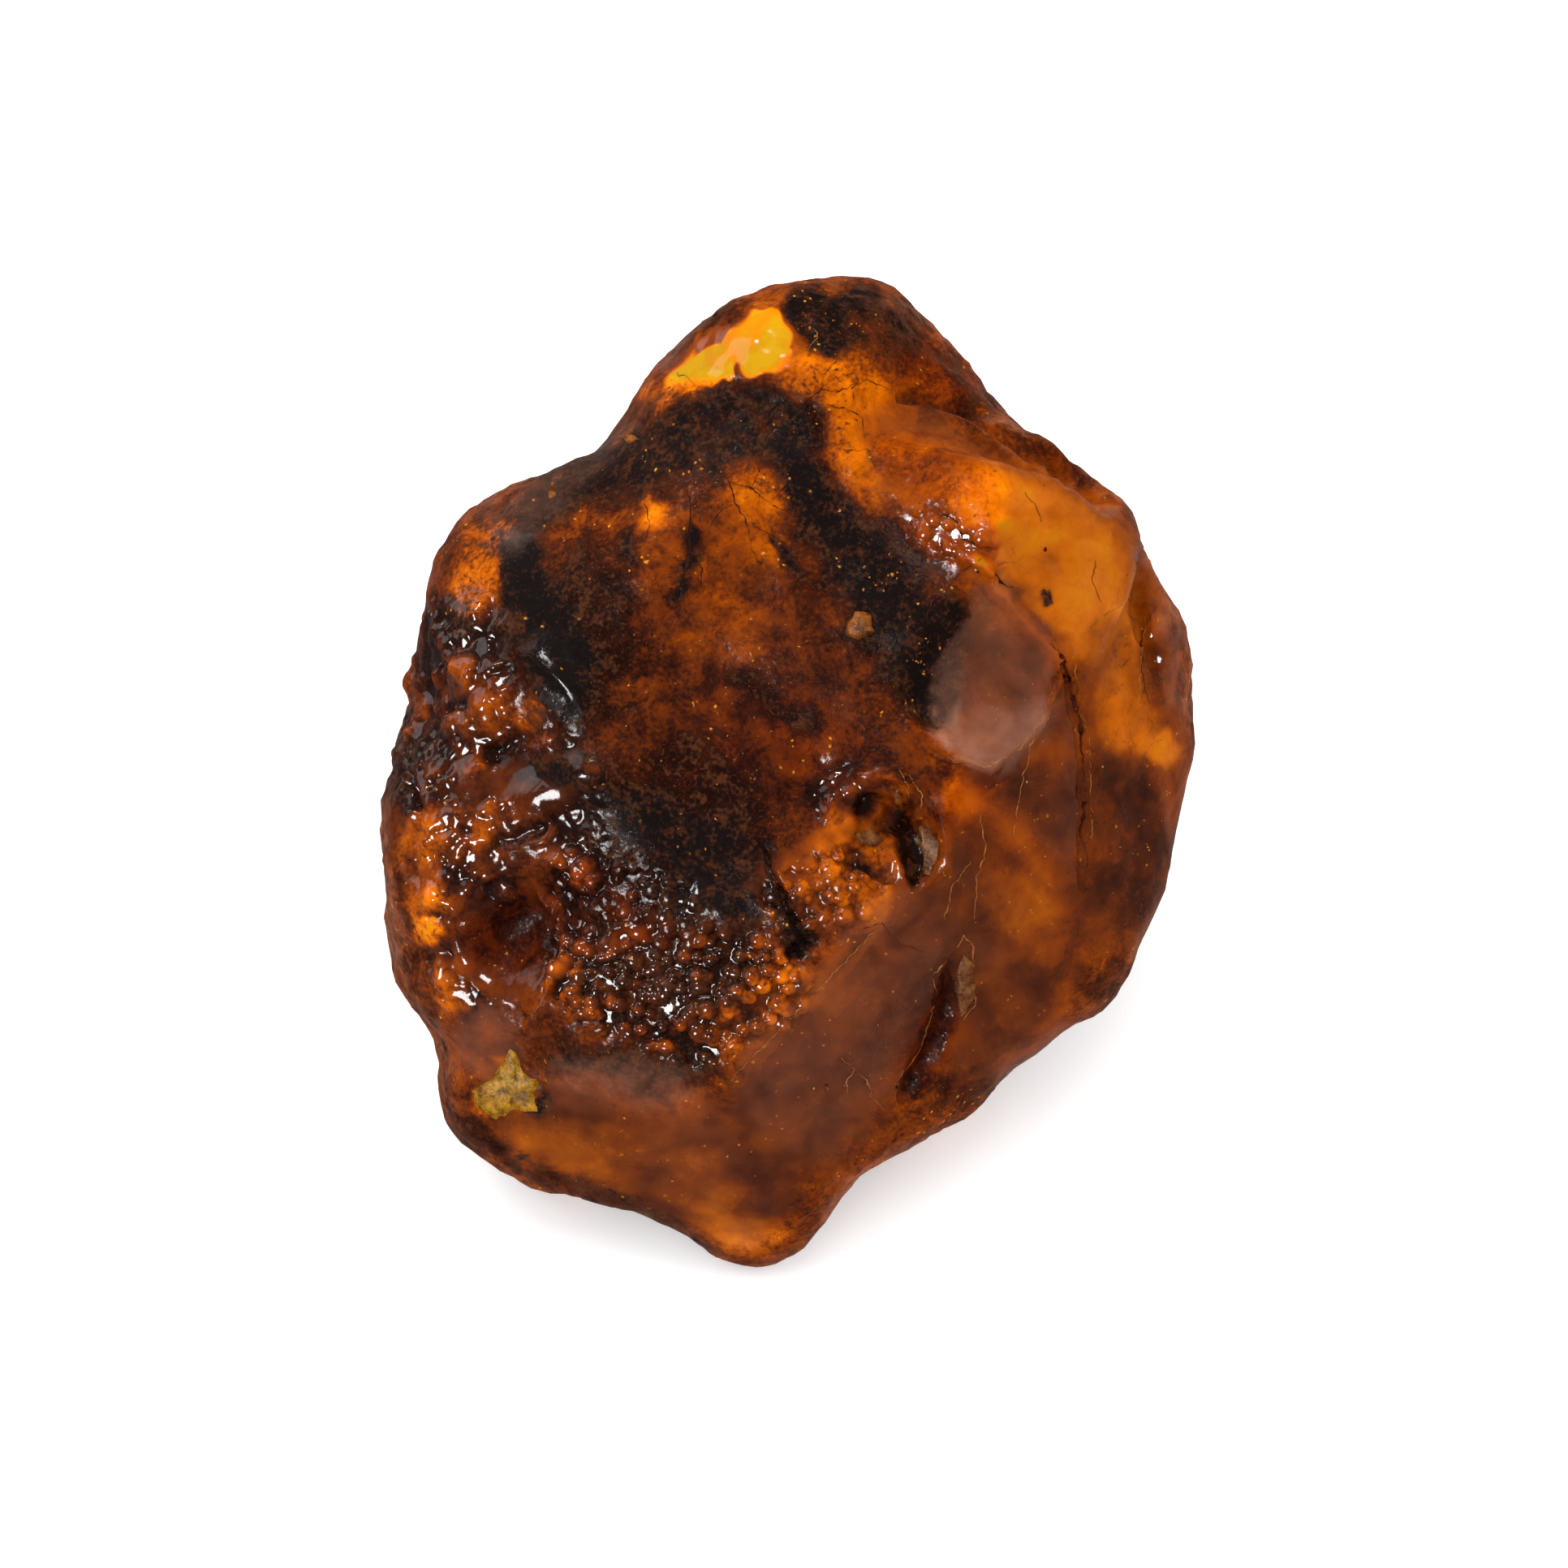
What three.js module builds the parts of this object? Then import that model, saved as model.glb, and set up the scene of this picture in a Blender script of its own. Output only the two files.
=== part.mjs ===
// A lump of raw amber about as wide as a palm, lying on a worn flat spot on its underside.
// It is one solid: a thick pebble with an irregular rim, broken and sea-worn into broad facets,
// with swollen flows of resin on it and hollows where crust and bark have fallen away.
//
// Units are millimetres, +Z is up, and the origin is at the bottom centre of the bounding box.
// The shape is written in the broad face's own frame (u across it, v up it, w square out of it),
// which leans towards -Y, so that its lower edge is near the surface that the lump lies on.

import * as THREE from "three";
import { ImprovedNoise } from "three/addons/math/ImprovedNoise.js";

// Driving dimensions.
const FACE_LEAN_DEG = 30; // how far the broad face leans from lying flat
const FRONT_THICKNESS = 18; // from the rim plane to the crown of the broad face, before it is cut
const BACK_THICKNESS = 17; // from the rim plane to the back of the pebble
const RIM_LIFT = 18.4; // height of the rim's centre over the resting surface
const FRONT_ROUNDNESS = 2.7; // 2 is an ellipse, and more has fuller shoulders
const BACK_ROUNDNESS = 2.3;
const SPHERE_DETAIL = 20; // each of the ball's first twenty faces is cut into this many rows

// The rim, seen square to the broad face, anticlockwise from the right-hand side.
const RIM = [
  [24.7, 3.4], [24.2, 8.4], [22.8, 13.0], [21.6, 15.8], [17.8, 18.6], [12.2, 23.3],
  [9.6, 26.8], [6.6, 29.4], [3.4, 30.2], [-0.6, 29.6], [-5.8, 28.5], [-8.8, 25.3],
  [-10.6, 22.0], [-14.4, 19.2], [-19.6, 16.4], [-21.6, 14.2], [-23.0, 10.6], [-23.7, 5.0],
  [-24.5, -1.8], [-24.7, -8.0], [-23.6, -13.6], [-21.4, -16.8], [-21.2, -20.8], [-19.2, -23.6],
  [-14.6, -25.3], [-10.4, -27.1], [-4.6, -30.1], [-0.9, -30.3], [1.6, -27.9], [3.4, -24.8],
  [7.0, -22.9], [12.0, -20.6], [14.8, -17.8], [16.6, -15.4], [19.4, -14.2], [22.1, -10.4],
  [23.2, -5.2],
];

// Natural slopes of the crust: a point on each, its outward direction, and how round its edges are.
const SLOPES = [
  { name: "crust face", at: [-3.7, 7.6, 14.0], facing: [-0.05, 0.05, 1], edge: 3 },
  { name: "pebbled apron", at: [-6.2, -9.0, 13.4], facing: [-0.08, -0.2, 0.97], edge: 3 },
  { name: "left flank", at: [-17.0, -1.0, 11.8], facing: [-0.6, -0.1, 0.78], edge: 4 },
  { name: "upper left shoulder", at: [-12.6, 15.6, 11.6], facing: [-0.5, 0.5, 0.71], edge: 3 },
  { name: "crown slope", at: [2.4, 23.6, 11.4], facing: [-0.02, 0.4, 0.92], edge: 3 },
  { name: "upper right slope", at: [12.8, 21.6, 6.2], facing: [0.5, 0.52, 0.69], edge: 2.4 },
  { name: "lower left corner", at: [-18.0, -15.6, 8.8], facing: [-0.52, -0.4, 0.75], edge: 2 },
  { name: "step beyond the fissure", at: [11.4, -13.4, 8.2], facing: [0.46, -0.58, 0.67], edge: 1.8 },
  { name: "back left break", at: [-17.0, 6.0, -10.4], facing: [-0.72, 0.2, -0.66], edge: 3 },
  { name: "back right break", at: [17.0, 4.0, -10.6], facing: [0.68, 0.1, -0.72], edge: 3 },
  { name: "back crown chip", at: [9.6, 19.8, -10.0], facing: [0.5, 0.62, -0.6], edge: 2 },
];

// Broken or sea-polished flats, which cut the crust cleanly.
const FACETS = [
  { name: "polished lower facet", at: [3.4, -11.4, 12.4], facing: [0.4, -0.46, 0.79], edge: 0.9 },
  { name: "bottom chamfer", at: [-9.7, -18.7, 10.9], facing: [-0.12, -0.74, 0.66], edge: 1.1 },
  { name: "lower right flank", at: [14.6, -4.0, 11.0], facing: [0.64, -0.16, 0.75], edge: 2.4 },
  { name: "lower left flat", at: [-18.2, -17.4, 7.8], facing: [-0.34, -0.62, 0.71], edge: 1.2 },
  { name: "back top break", at: [-2.0, 22.0, -10.0], facing: [-0.16, 0.72, -0.67], edge: 3 },
];

// Swollen flows of resin, each an ellipsoid that grows out of the body.
const FLOWS = [
  { name: "upper right flow", at: [13.6, 14.7, 8.0], radii: [11.2, 6.2, 7.8], turn: -31, blend: 1.3 },
  { name: "right rim bulge", at: [19.6, 4.4, 0.2], radii: [5.0, 9.4, 6.2], turn: 3, blend: 1.6 },
  { name: "crown knob", at: [2.8, 24.8, 3.6], radii: [6.6, 4.6, 7.0], turn: -14, blend: 3 },
  { name: "left rim swell", at: [-20.4, -5.4, 4.0], radii: [4.0, 7.6, 5.6], turn: 3, blend: 3 },
  { name: "toe", at: [-2.4, -25.6, 1.6], radii: [4.6, 4.0, 5.6], turn: 20, blend: 2 },
  { name: "heel", at: [-1.0, 3.0, -11.6], radii: [17.0, 14.0, 9.0], turn: 8, blend: 6 },
  { name: "back knuckle", at: [-9.0, 14.0, -11.0], radii: [8.0, 7.0, 6.6], turn: 30, blend: 4 },
];

// Places where crust or bark has come away, each an ellipsoid taken out of the body.
const HOLLOWS = [
  { name: "dish in the crust face", at: [-2.6, 6.0, 31.0], radii: [22.0, 20.0, 18.2], turn: 0, blend: 3 },
  { name: "shell-shaped chip", at: [12.0, 6.0, 18.0], radii: [6.2, 8.6, 5.6], turn: -20, blend: 0.6 },
  { name: "thumb hollow", at: [-17.2, -9.8, 12.6], radii: [4.4, 3.8, 4.6], turn: 30, blend: 1.2 },
  { name: "resin pit", at: [6.4, -4.0, 16.4], radii: [2.9, 4.1, 4.2], turn: -14, blend: 0.9 },
  { name: "left scoop", at: [-18.8, 1.6, 12.8], radii: [4.0, 2.4, 3.4], turn: 24, blend: 1.6 },
  { name: "corner bite", at: [-18.0, -18.2, 10.2], radii: [3.2, 2.8, 3.4], turn: 0, blend: 1.2 },
  { name: "waist under the rim", at: [25.0, -9.6, -9.0], radii: [6.0, 9.0, 6.0], turn: 0, blend: 4 },
  { name: "back scoop", at: [5.0, 17.0, -20.6], radii: [9.0, 8.0, 6.6], turn: 20, blend: 3 },
];

// Long dents: the points that each follows, its radius, and how round its lips are.
const GROOVES = [
  {
    name: "crease above the flow",
    path: [[5.8, 23.0, 12.6], [11.4, 21.6, 11.4], [17.8, 17.8, 8.6]],
    radius: 1.7,
    blend: 1.4,
  },
  {
    name: "gully beside the crown",
    path: [[-0.6, 21.6, 14.6], [3.4, 16.4, 15.6], [8.4, 11.8, 15.8]],
    radius: 1.7,
    blend: 1.8,
  },
  {
    name: "cleft beside the rim bulge",
    path: [[21.8, 13.0, 6.0], [21.0, 7.0, 8.2]],
    radius: 1.3,
    blend: 1.4,
  },
  {
    name: "fissure",
    path: [[10.6, -11.8, 11.0], [9.0, -15.6, 9.4], [7.2, -19.4, 6.8]],
    radius: 1.3,
    blend: 1.0,
  },
];

// Unevenness of the crust: the size of its lumps, and how far they stand out.
const CRUST_LUMPS = [
  { size: 8.0, height: 0.7 },
  { size: 3.6, height: 0.35 },
];

// How finely the shape is followed.
const RIM_SAMPLES = 720; // points along the rim's curve
const SEARCH_START = 36; // a distance from the middle that is well outside everywhere
const SEARCH_STEP = 0.5; // finer than any crease is wide
const SEARCH_HALVINGS = 16; // settles the surface to a hundredth of a micrometre

const radians = THREE.MathUtils.degToRad;

/** The rim's distance from the middle at each angle, read from the closed curve through its points. */
function makeRimReach() {
  const corners = RIM.map(([u, v]) => new THREE.Vector3(u, v, 0));
  const curve = new THREE.CatmullRomCurve3(corners, true, "centripetal");
  const samples = curve
    .getPoints(RIM_SAMPLES)
    .slice(1)
    .map((p) => ({ angle: Math.atan2(p.y, p.x), reach: Math.hypot(p.x, p.y) }));
  samples.sort((a, b) => a.angle - b.angle);
  const turn = 2 * Math.PI;
  samples.unshift({ ...samples.at(-1), angle: samples.at(-1).angle - turn });
  samples.push({ ...samples[1], angle: samples[1].angle + turn });
  return (angle) => {
    const next = samples.findIndex((sample) => sample.angle > angle);
    const [a, b] = [samples[next - 1], samples[next]];
    return THREE.MathUtils.mapLinear(angle, a.angle, b.angle, a.reach, b.reach);
  };
}
const rimReach = makeRimReach();

/** The larger of two heights, with the corner between them rounded over the width `round`. */
function smoothMax(a, b, round) {
  const near = Math.max(round - Math.abs(a - b), 0) / round;
  return Math.max(a, b) + (near * near * round) / 4;
}
const smoothMin = (a, b, round) => -smoothMax(-a, -b, round);

/** About how far a point is outside the uncut pebble. */
function pebble({ x: u, y: v, z: w }) {
  const across = Math.hypot(u, v) / rimReach(Math.atan2(v, u));
  const [thickness, power] =
    w > 0 ? [FRONT_THICKNESS, FRONT_ROUNDNESS] : [BACK_THICKNESS, BACK_ROUNDNESS];
  const out = Math.abs(w) / thickness;
  return ((across ** power + out ** power) ** (1 / power) - 1) * thickness;
}

/** About how far a point is outside an ellipsoid that is turned about w. */
function ellipsoid(point, { at, radii, turn }) {
  const local = point.clone().sub(new THREE.Vector3(...at));
  local.applyAxisAngle(new THREE.Vector3(0, 0, 1), -radians(turn));
  return (local.divide(new THREE.Vector3(...radii)).length() - 1) * Math.min(...radii);
}

/** How far a point is outside a round bar that follows a path. */
function bar(point, { path, radius }) {
  const corners = path.map((corner) => new THREE.Vector3(...corner));
  const distances = corners.slice(1).map((corner, i) => {
    const closest = new THREE.Vector3();
    new THREE.Line3(corners[i], corner).closestPointToPoint(point, true, closest);
    return closest.distanceTo(point);
  });
  return Math.min(...distances) - radius;
}

/** How far a point is above the plane of a slope or facet. */
function above(point, { at, facing }) {
  const outward = new THREE.Vector3(...facing).normalize();
  return outward.dot(point.clone().sub(new THREE.Vector3(...at)));
}

const noise = new ImprovedNoise();

/** How far the crust's own lumps stand out at a point. */
function crustLumps({ x, y, z }) {
  const heights = CRUST_LUMPS.map(
    ({ size, height }) => height * noise.noise(x / size, y / size, z / size),
  );
  return heights.reduce((sum, height) => sum + height, 0);
}

const leanForward = new THREE.Matrix4().makeRotationX(radians(FACE_LEAN_DEG));

/** About how far a point of the face's frame is outside the lump; negative is inside. */
function outside(point) {
  let reach = pebble(point);
  for (const slope of SLOPES) reach = smoothMax(reach, above(point, slope), slope.edge);
  for (const flow of FLOWS) reach = smoothMin(reach, ellipsoid(point, flow), flow.blend);
  for (const hollow of HOLLOWS) reach = smoothMax(reach, -ellipsoid(point, hollow), hollow.blend);
  for (const groove of GROOVES) reach = smoothMax(reach, -bar(point, groove), groove.blend);
  reach -= crustLumps(point);
  for (const facet of FACETS) reach = smoothMax(reach, above(point, facet), facet.edge);
  const height = point.clone().applyMatrix4(leanForward).z + RIM_LIFT;
  return Math.max(reach, -height);
}

/** How far the surface is from the middle along a direction, looking in from well outside. */
function surfaceDistance(direction) {
  const at = (distance) => outside(direction.clone().multiplyScalar(distance));
  let far = SEARCH_START;
  while (at(far - SEARCH_STEP) > 0) far -= SEARCH_STEP;
  let near = far - SEARCH_STEP;
  for (let halvings = 0; halvings < SEARCH_HALVINGS; halvings++) {
    const middle = (near + far) / 2;
    if (at(middle) > 0) far = middle;
    else near = middle;
  }
  return near;
}

/** The lump's surface: an even ball of triangles, with each corner moved out to the surface. */
function lumpGeometry() {
  const geometry = new THREE.IcosahedronGeometry(1, SPHERE_DETAIL);
  const corners = geometry.getAttribute("position");
  const moved = new Map();
  for (let i = 0; i < corners.count; i++) {
    const corner = new THREE.Vector3().fromBufferAttribute(corners, i);
    const key = corner.toArray().map((x) => x.toFixed(4)).join();
    if (!moved.has(key)) moved.set(key, corner.multiplyScalar(surfaceDistance(corner)));
    corners.setXYZ(i, ...moved.get(key));
  }
  geometry.applyMatrix4(leanForward);
  geometry.computeBoundingBox();
  const { min, max } = geometry.boundingBox;
  geometry.translate(-(min.x + max.x) / 2, -(min.y + max.y) / 2, -min.z);
  geometry.computeVertexNormals();
  return geometry;
}

const amber = new THREE.MeshStandardMaterial({ color: 0x7a3a10, roughness: 0.22, metalness: 0 });

const lump = new THREE.Mesh(lumpGeometry(), amber);
lump.name = "raw_amber";

const part = new THREE.Group();
part.add(lump);

export default part;
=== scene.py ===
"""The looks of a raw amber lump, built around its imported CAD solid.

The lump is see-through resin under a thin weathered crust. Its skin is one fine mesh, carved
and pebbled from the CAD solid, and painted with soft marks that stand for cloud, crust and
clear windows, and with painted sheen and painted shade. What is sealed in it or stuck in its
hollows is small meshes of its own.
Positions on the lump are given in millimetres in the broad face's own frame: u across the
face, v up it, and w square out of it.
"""

import logging
import math
from collections.abc import Sequence
from dataclasses import dataclass
from enum import Enum
from functools import cached_property

import bmesh
import bpy
import numpy as np
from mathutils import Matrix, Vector
from mathutils.bvhtree import BVHTree


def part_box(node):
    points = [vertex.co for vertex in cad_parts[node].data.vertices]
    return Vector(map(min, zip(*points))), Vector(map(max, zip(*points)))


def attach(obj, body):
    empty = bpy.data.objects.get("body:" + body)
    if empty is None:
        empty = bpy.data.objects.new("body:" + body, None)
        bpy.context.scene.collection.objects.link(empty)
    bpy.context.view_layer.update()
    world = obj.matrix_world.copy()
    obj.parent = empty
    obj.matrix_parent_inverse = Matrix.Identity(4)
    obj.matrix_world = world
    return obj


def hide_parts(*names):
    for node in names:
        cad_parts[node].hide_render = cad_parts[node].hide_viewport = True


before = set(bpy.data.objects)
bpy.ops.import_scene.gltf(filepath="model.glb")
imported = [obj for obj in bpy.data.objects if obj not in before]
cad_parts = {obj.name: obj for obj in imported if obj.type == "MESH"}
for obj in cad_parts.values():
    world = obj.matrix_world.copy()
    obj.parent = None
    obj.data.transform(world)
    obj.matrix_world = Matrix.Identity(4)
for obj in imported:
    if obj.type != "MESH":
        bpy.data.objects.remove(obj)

NODE = "raw_amber"
BODY = "root"
MM = 0.001

log = logging.getLogger("amber")

Colour = tuple[float, float, float]
Dab = tuple[float, float, float]
Hills = tuple[float | np.ndarray, float, int]
Shell = tuple[list, list]


class Slot(Enum):
    """The record's material slots."""

    AMBER = "amber"
    CRUST = "weathered_crust"
    DEBRIS = "sealed_debris"


# ----------------------------------------
# Places on the lump
# ----------------------------------------


@dataclass(frozen=True)
class FaceFrame:
    """The broad face's own frame, in millimetres, and its place in the CAD frame.

    Attributes:
        lean_deg: how far the face leans from lying flat.
        rim_centre: where the rim's centre is, from the bottom centre of the lump's box, in mm.
    """

    lean_deg: float = 30.0
    rim_centre: tuple[float, float, float] = (0.13, -0.10, 18.6)

    @cached_property
    def base(self) -> np.ndarray:
        """Works out where the rim's centre is in the CAD frame.

        Returns:
            x, y and z in metres.
        """
        low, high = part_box(NODE)
        bottom = np.array([(low.x + high.x) / 2, (low.y + high.y) / 2, low.z])
        return bottom + MM * np.array(self.rim_centre)

    @cached_property
    def axes(self) -> np.ndarray:
        """Works out the face's directions in the CAD frame.

        Returns:
            Rows for u, v and w.
        """
        lean = math.radians(self.lean_deg)
        return np.array([
            [1.0, 0.0, 0.0],
            [0.0, math.cos(lean), math.sin(lean)],
            [0.0, -math.sin(lean), math.cos(lean)],
        ])

    def to_face(self, places: np.ndarray) -> np.ndarray:
        """Turns places in metres into the face frame.

        Args:
            places: rows of x, y, z in metres.

        Returns:
            Rows of u, v, w in millimetres.
        """
        return (places - self.base) @ self.axes.T / MM

    def to_lump(self, places: np.ndarray) -> np.ndarray:
        """Turns places in the face frame into metres.

        Args:
            places: rows of u, v, w in millimetres.

        Returns:
            Rows of x, y, z in metres.
        """
        return np.asarray(places) @ self.axes * MM + self.base


def smoothstep(low: float, high: float, values: np.ndarray) -> np.ndarray:
    """Rises smoothly from 0 at low to 1 at high.

    Args:
        low: the value that gives 0.
        high: the value that gives 1; it may be the smaller one.
        values: what is measured.

    Returns:
        Numbers from 0 to 1.
    """
    share = np.clip((values - low) / (high - low), 0.0, 1.0)
    return share * share * (3.0 - 2.0 * share)


def hashed(cells: np.ndarray, seed: int) -> np.ndarray:
    """A steady random number for each cell of a grid.

    Args:
        cells: whole numbers, with x, y and z last.
        seed: picks one set of numbers.

    Returns:
        Numbers from 0 to 1.
    """
    x, y, z = (cells[..., axis].astype(np.int64) for axis in range(3))
    n = (x * 73856093) ^ (y * 19349663) ^ (z * 83492791) ^ (seed * 2654435761)
    n = (n ^ (n >> 13)) * 1274126177
    return ((n ^ (n >> 16)) & 0xFFFFFF) / 0xFFFFFF


def lumps(places: np.ndarray, size: float, seed: int) -> np.ndarray:
    """Smooth random hills and hollows.

    Args:
        places: rows of u, v, w in mm.
        size: how far apart the hills are, in mm.
        seed: picks one landscape.

    Returns:
        Heights from -1 to 1.
    """
    scaled = places / size
    corner = np.floor(scaled)
    share = scaled - corner
    share = share * share * (3.0 - 2.0 * share)
    total = np.zeros(len(places))
    for offset in np.ndindex(2, 2, 2):
        near = np.where(np.array(offset) == 1, share, 1.0 - share)
        total += near.prod(axis=1) * hashed(corner + np.array(offset), seed)
    return 2.0 * total - 1.0


def with_hills(start: float | np.ndarray, places: np.ndarray, *hills: Hills) -> np.ndarray:
    """Adds hills of several sizes.

    Args:
        start: what they are added to.
        places: rows of u, v, w in mm.
        hills: each size's rise, spacing in mm and seed.

    Returns:
        The sums.
    """
    for rise, size, seed in hills:
        start = start + rise * lumps(places, size, seed)
    return start


STRAY = 0.8  # how far a grain strays in its cell
LEAST = 0.42  # the smallest grain's radius, as a share of the cell
SWELL = 0.38  # how much larger the largest one's is


def grains(places: np.ndarray, size: float, seed: int) -> np.ndarray:
    """Round grains that crowd together, like a cauliflower's skin.

    Args:
        places: rows of u, v, w in mm.
        size: about how far apart the grains are, in mm.
        seed: picks one set of grains.

    Returns:
        Heights from 0 between grains to 1 on top of the largest.
    """
    scaled = places / size
    home = np.floor(scaled)
    height = np.zeros(len(places))
    for offset in np.ndindex(3, 3, 3):
        cell = home + np.array(offset) - 1
        jitter = np.stack([hashed(cell, seed + axis) for axis in range(3)], axis=1)
        centre = cell + 0.5 + STRAY * (jitter - 0.5)
        radius = LEAST + SWELL * hashed(cell, seed + 3)
        reach = 1.0 - ((scaled - centre) ** 2).sum(axis=1) / radius**2
        dome = np.sqrt(np.clip(reach, 0.0, None)) * radius / (LEAST + SWELL)
        height = np.maximum(height, dome)
    return height


class Layer(Enum):
    """What a mark changes on the skin. The value names the mesh attribute that holds it."""

    TONE = "tone"  # 0 is deep maroon resin, 0.5 orange-brown, and 1 clear yellow
    CRUST = "crust"  # how much of the resin is hidden by black crust
    RED = "redness"
    # painted sheen: a pale reflection painted into the colour
    HAZE = "haze"
    CLEAR = "clearness"
    POLISH = "polish"
    PEBBLES = "pebbles"
    WARTS = "warts"
    RIPPLES = "ripples"
    VEINS = "veins"
    GLOSS = "gloss"  # worked out from the others
    # The finish paints this as shade: darker between warts and pebbles, lighter on their tops.
    RELIEF = "relief"  # how far the skin stands out


ROUGH = (Layer.PEBBLES, Layer.WARTS, Layer.RIPPLES)


def nearness(dabs: Sequence[Dab], u: np.ndarray, v: np.ndarray) -> np.ndarray:
    """How near places are to a trail of round dabs that run into each other.

    Args:
        dabs: each dab's u, v and radius in mm.
        u: distances across the face, in mm.
        v: distances up the face, in mm.

    Returns:
        0 along the trail's middle, 1 at its edge, and more outside it.
    """
    first = dabs[0]
    if len(dabs) == 1:
        return np.hypot(u - first[0], v - first[1]) / first[2]
    nearest = np.full(len(u), np.inf)
    for (u0, v0, r0), (u1, v1, r1) in zip(dabs, dabs[1:]):
        length = math.hypot(u1 - u0, v1 - v0)
        along = ((u - u0) * (u1 - u0) + (v - v0) * (v1 - v0)) / length**2
        along = np.clip(along, 0.0, 1.0)
        gap = np.hypot(u - u0 - along * (u1 - u0), v - v0 - along * (v1 - v0))
        nearest = np.minimum(nearest, gap / (r0 + along * (r1 - r0)))
    return nearest


@dataclass(frozen=True)
class Mark:
    """A trail of dabs on the broad face that takes one level of a layer.

    Attributes:
        level: what the place is brought to.
        edge: the share of the radius over which it fades out.
        dabs: each dab's u, v and radius in mm.
    """

    level: float
    edge: float
    dabs: tuple[Dab, ...]

    def cover(self, u: np.ndarray, v: np.ndarray) -> np.ndarray:
        """How much of the mark reaches each place.

        Args:
            u: distances across the face, in mm.
            v: distances up the face, in mm.

        Returns:
            1 inside, falling to 0 outside.
        """
        return smoothstep(1.0 + self.edge, 1.0 - self.edge, nearness(self.dabs, u, v))


def marks(*rows: tuple) -> tuple[Mark, ...]:
    """Makes marks.

    Args:
        rows: each mark's level and edge, and then its dabs.

    Returns:
        The marks.
    """
    return tuple(Mark(level, edge, tuple(dabs)) for level, edge, *dabs in rows)


@dataclass(frozen=True)
class Carving:
    """A groove, pit or ridge on the broad face.

    Attributes:
        depth: how far it goes in, in mm; a ridge has less than 0.
        dabs: each dab's u, v and radius in mm.
        steep: 1 has a round bottom, and more has steep walls.
    """

    depth: float
    dabs: tuple[Dab, ...]
    steep: float = 1.0

    def sink(self, u: np.ndarray, v: np.ndarray) -> np.ndarray:
        """How far the skin is lowered at each place.

        Args:
            u: distances across the face, in mm.
            v: distances up the face, in mm.

        Returns:
            Depths in mm.
        """
        inside = smoothstep(1.0, 0.0, nearness(self.dabs, u, v))
        return self.depth * (1.0 - (1.0 - inside) ** self.steep)


# ----------------------------------------
# What is painted and carved on the skin
# ----------------------------------------

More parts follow.
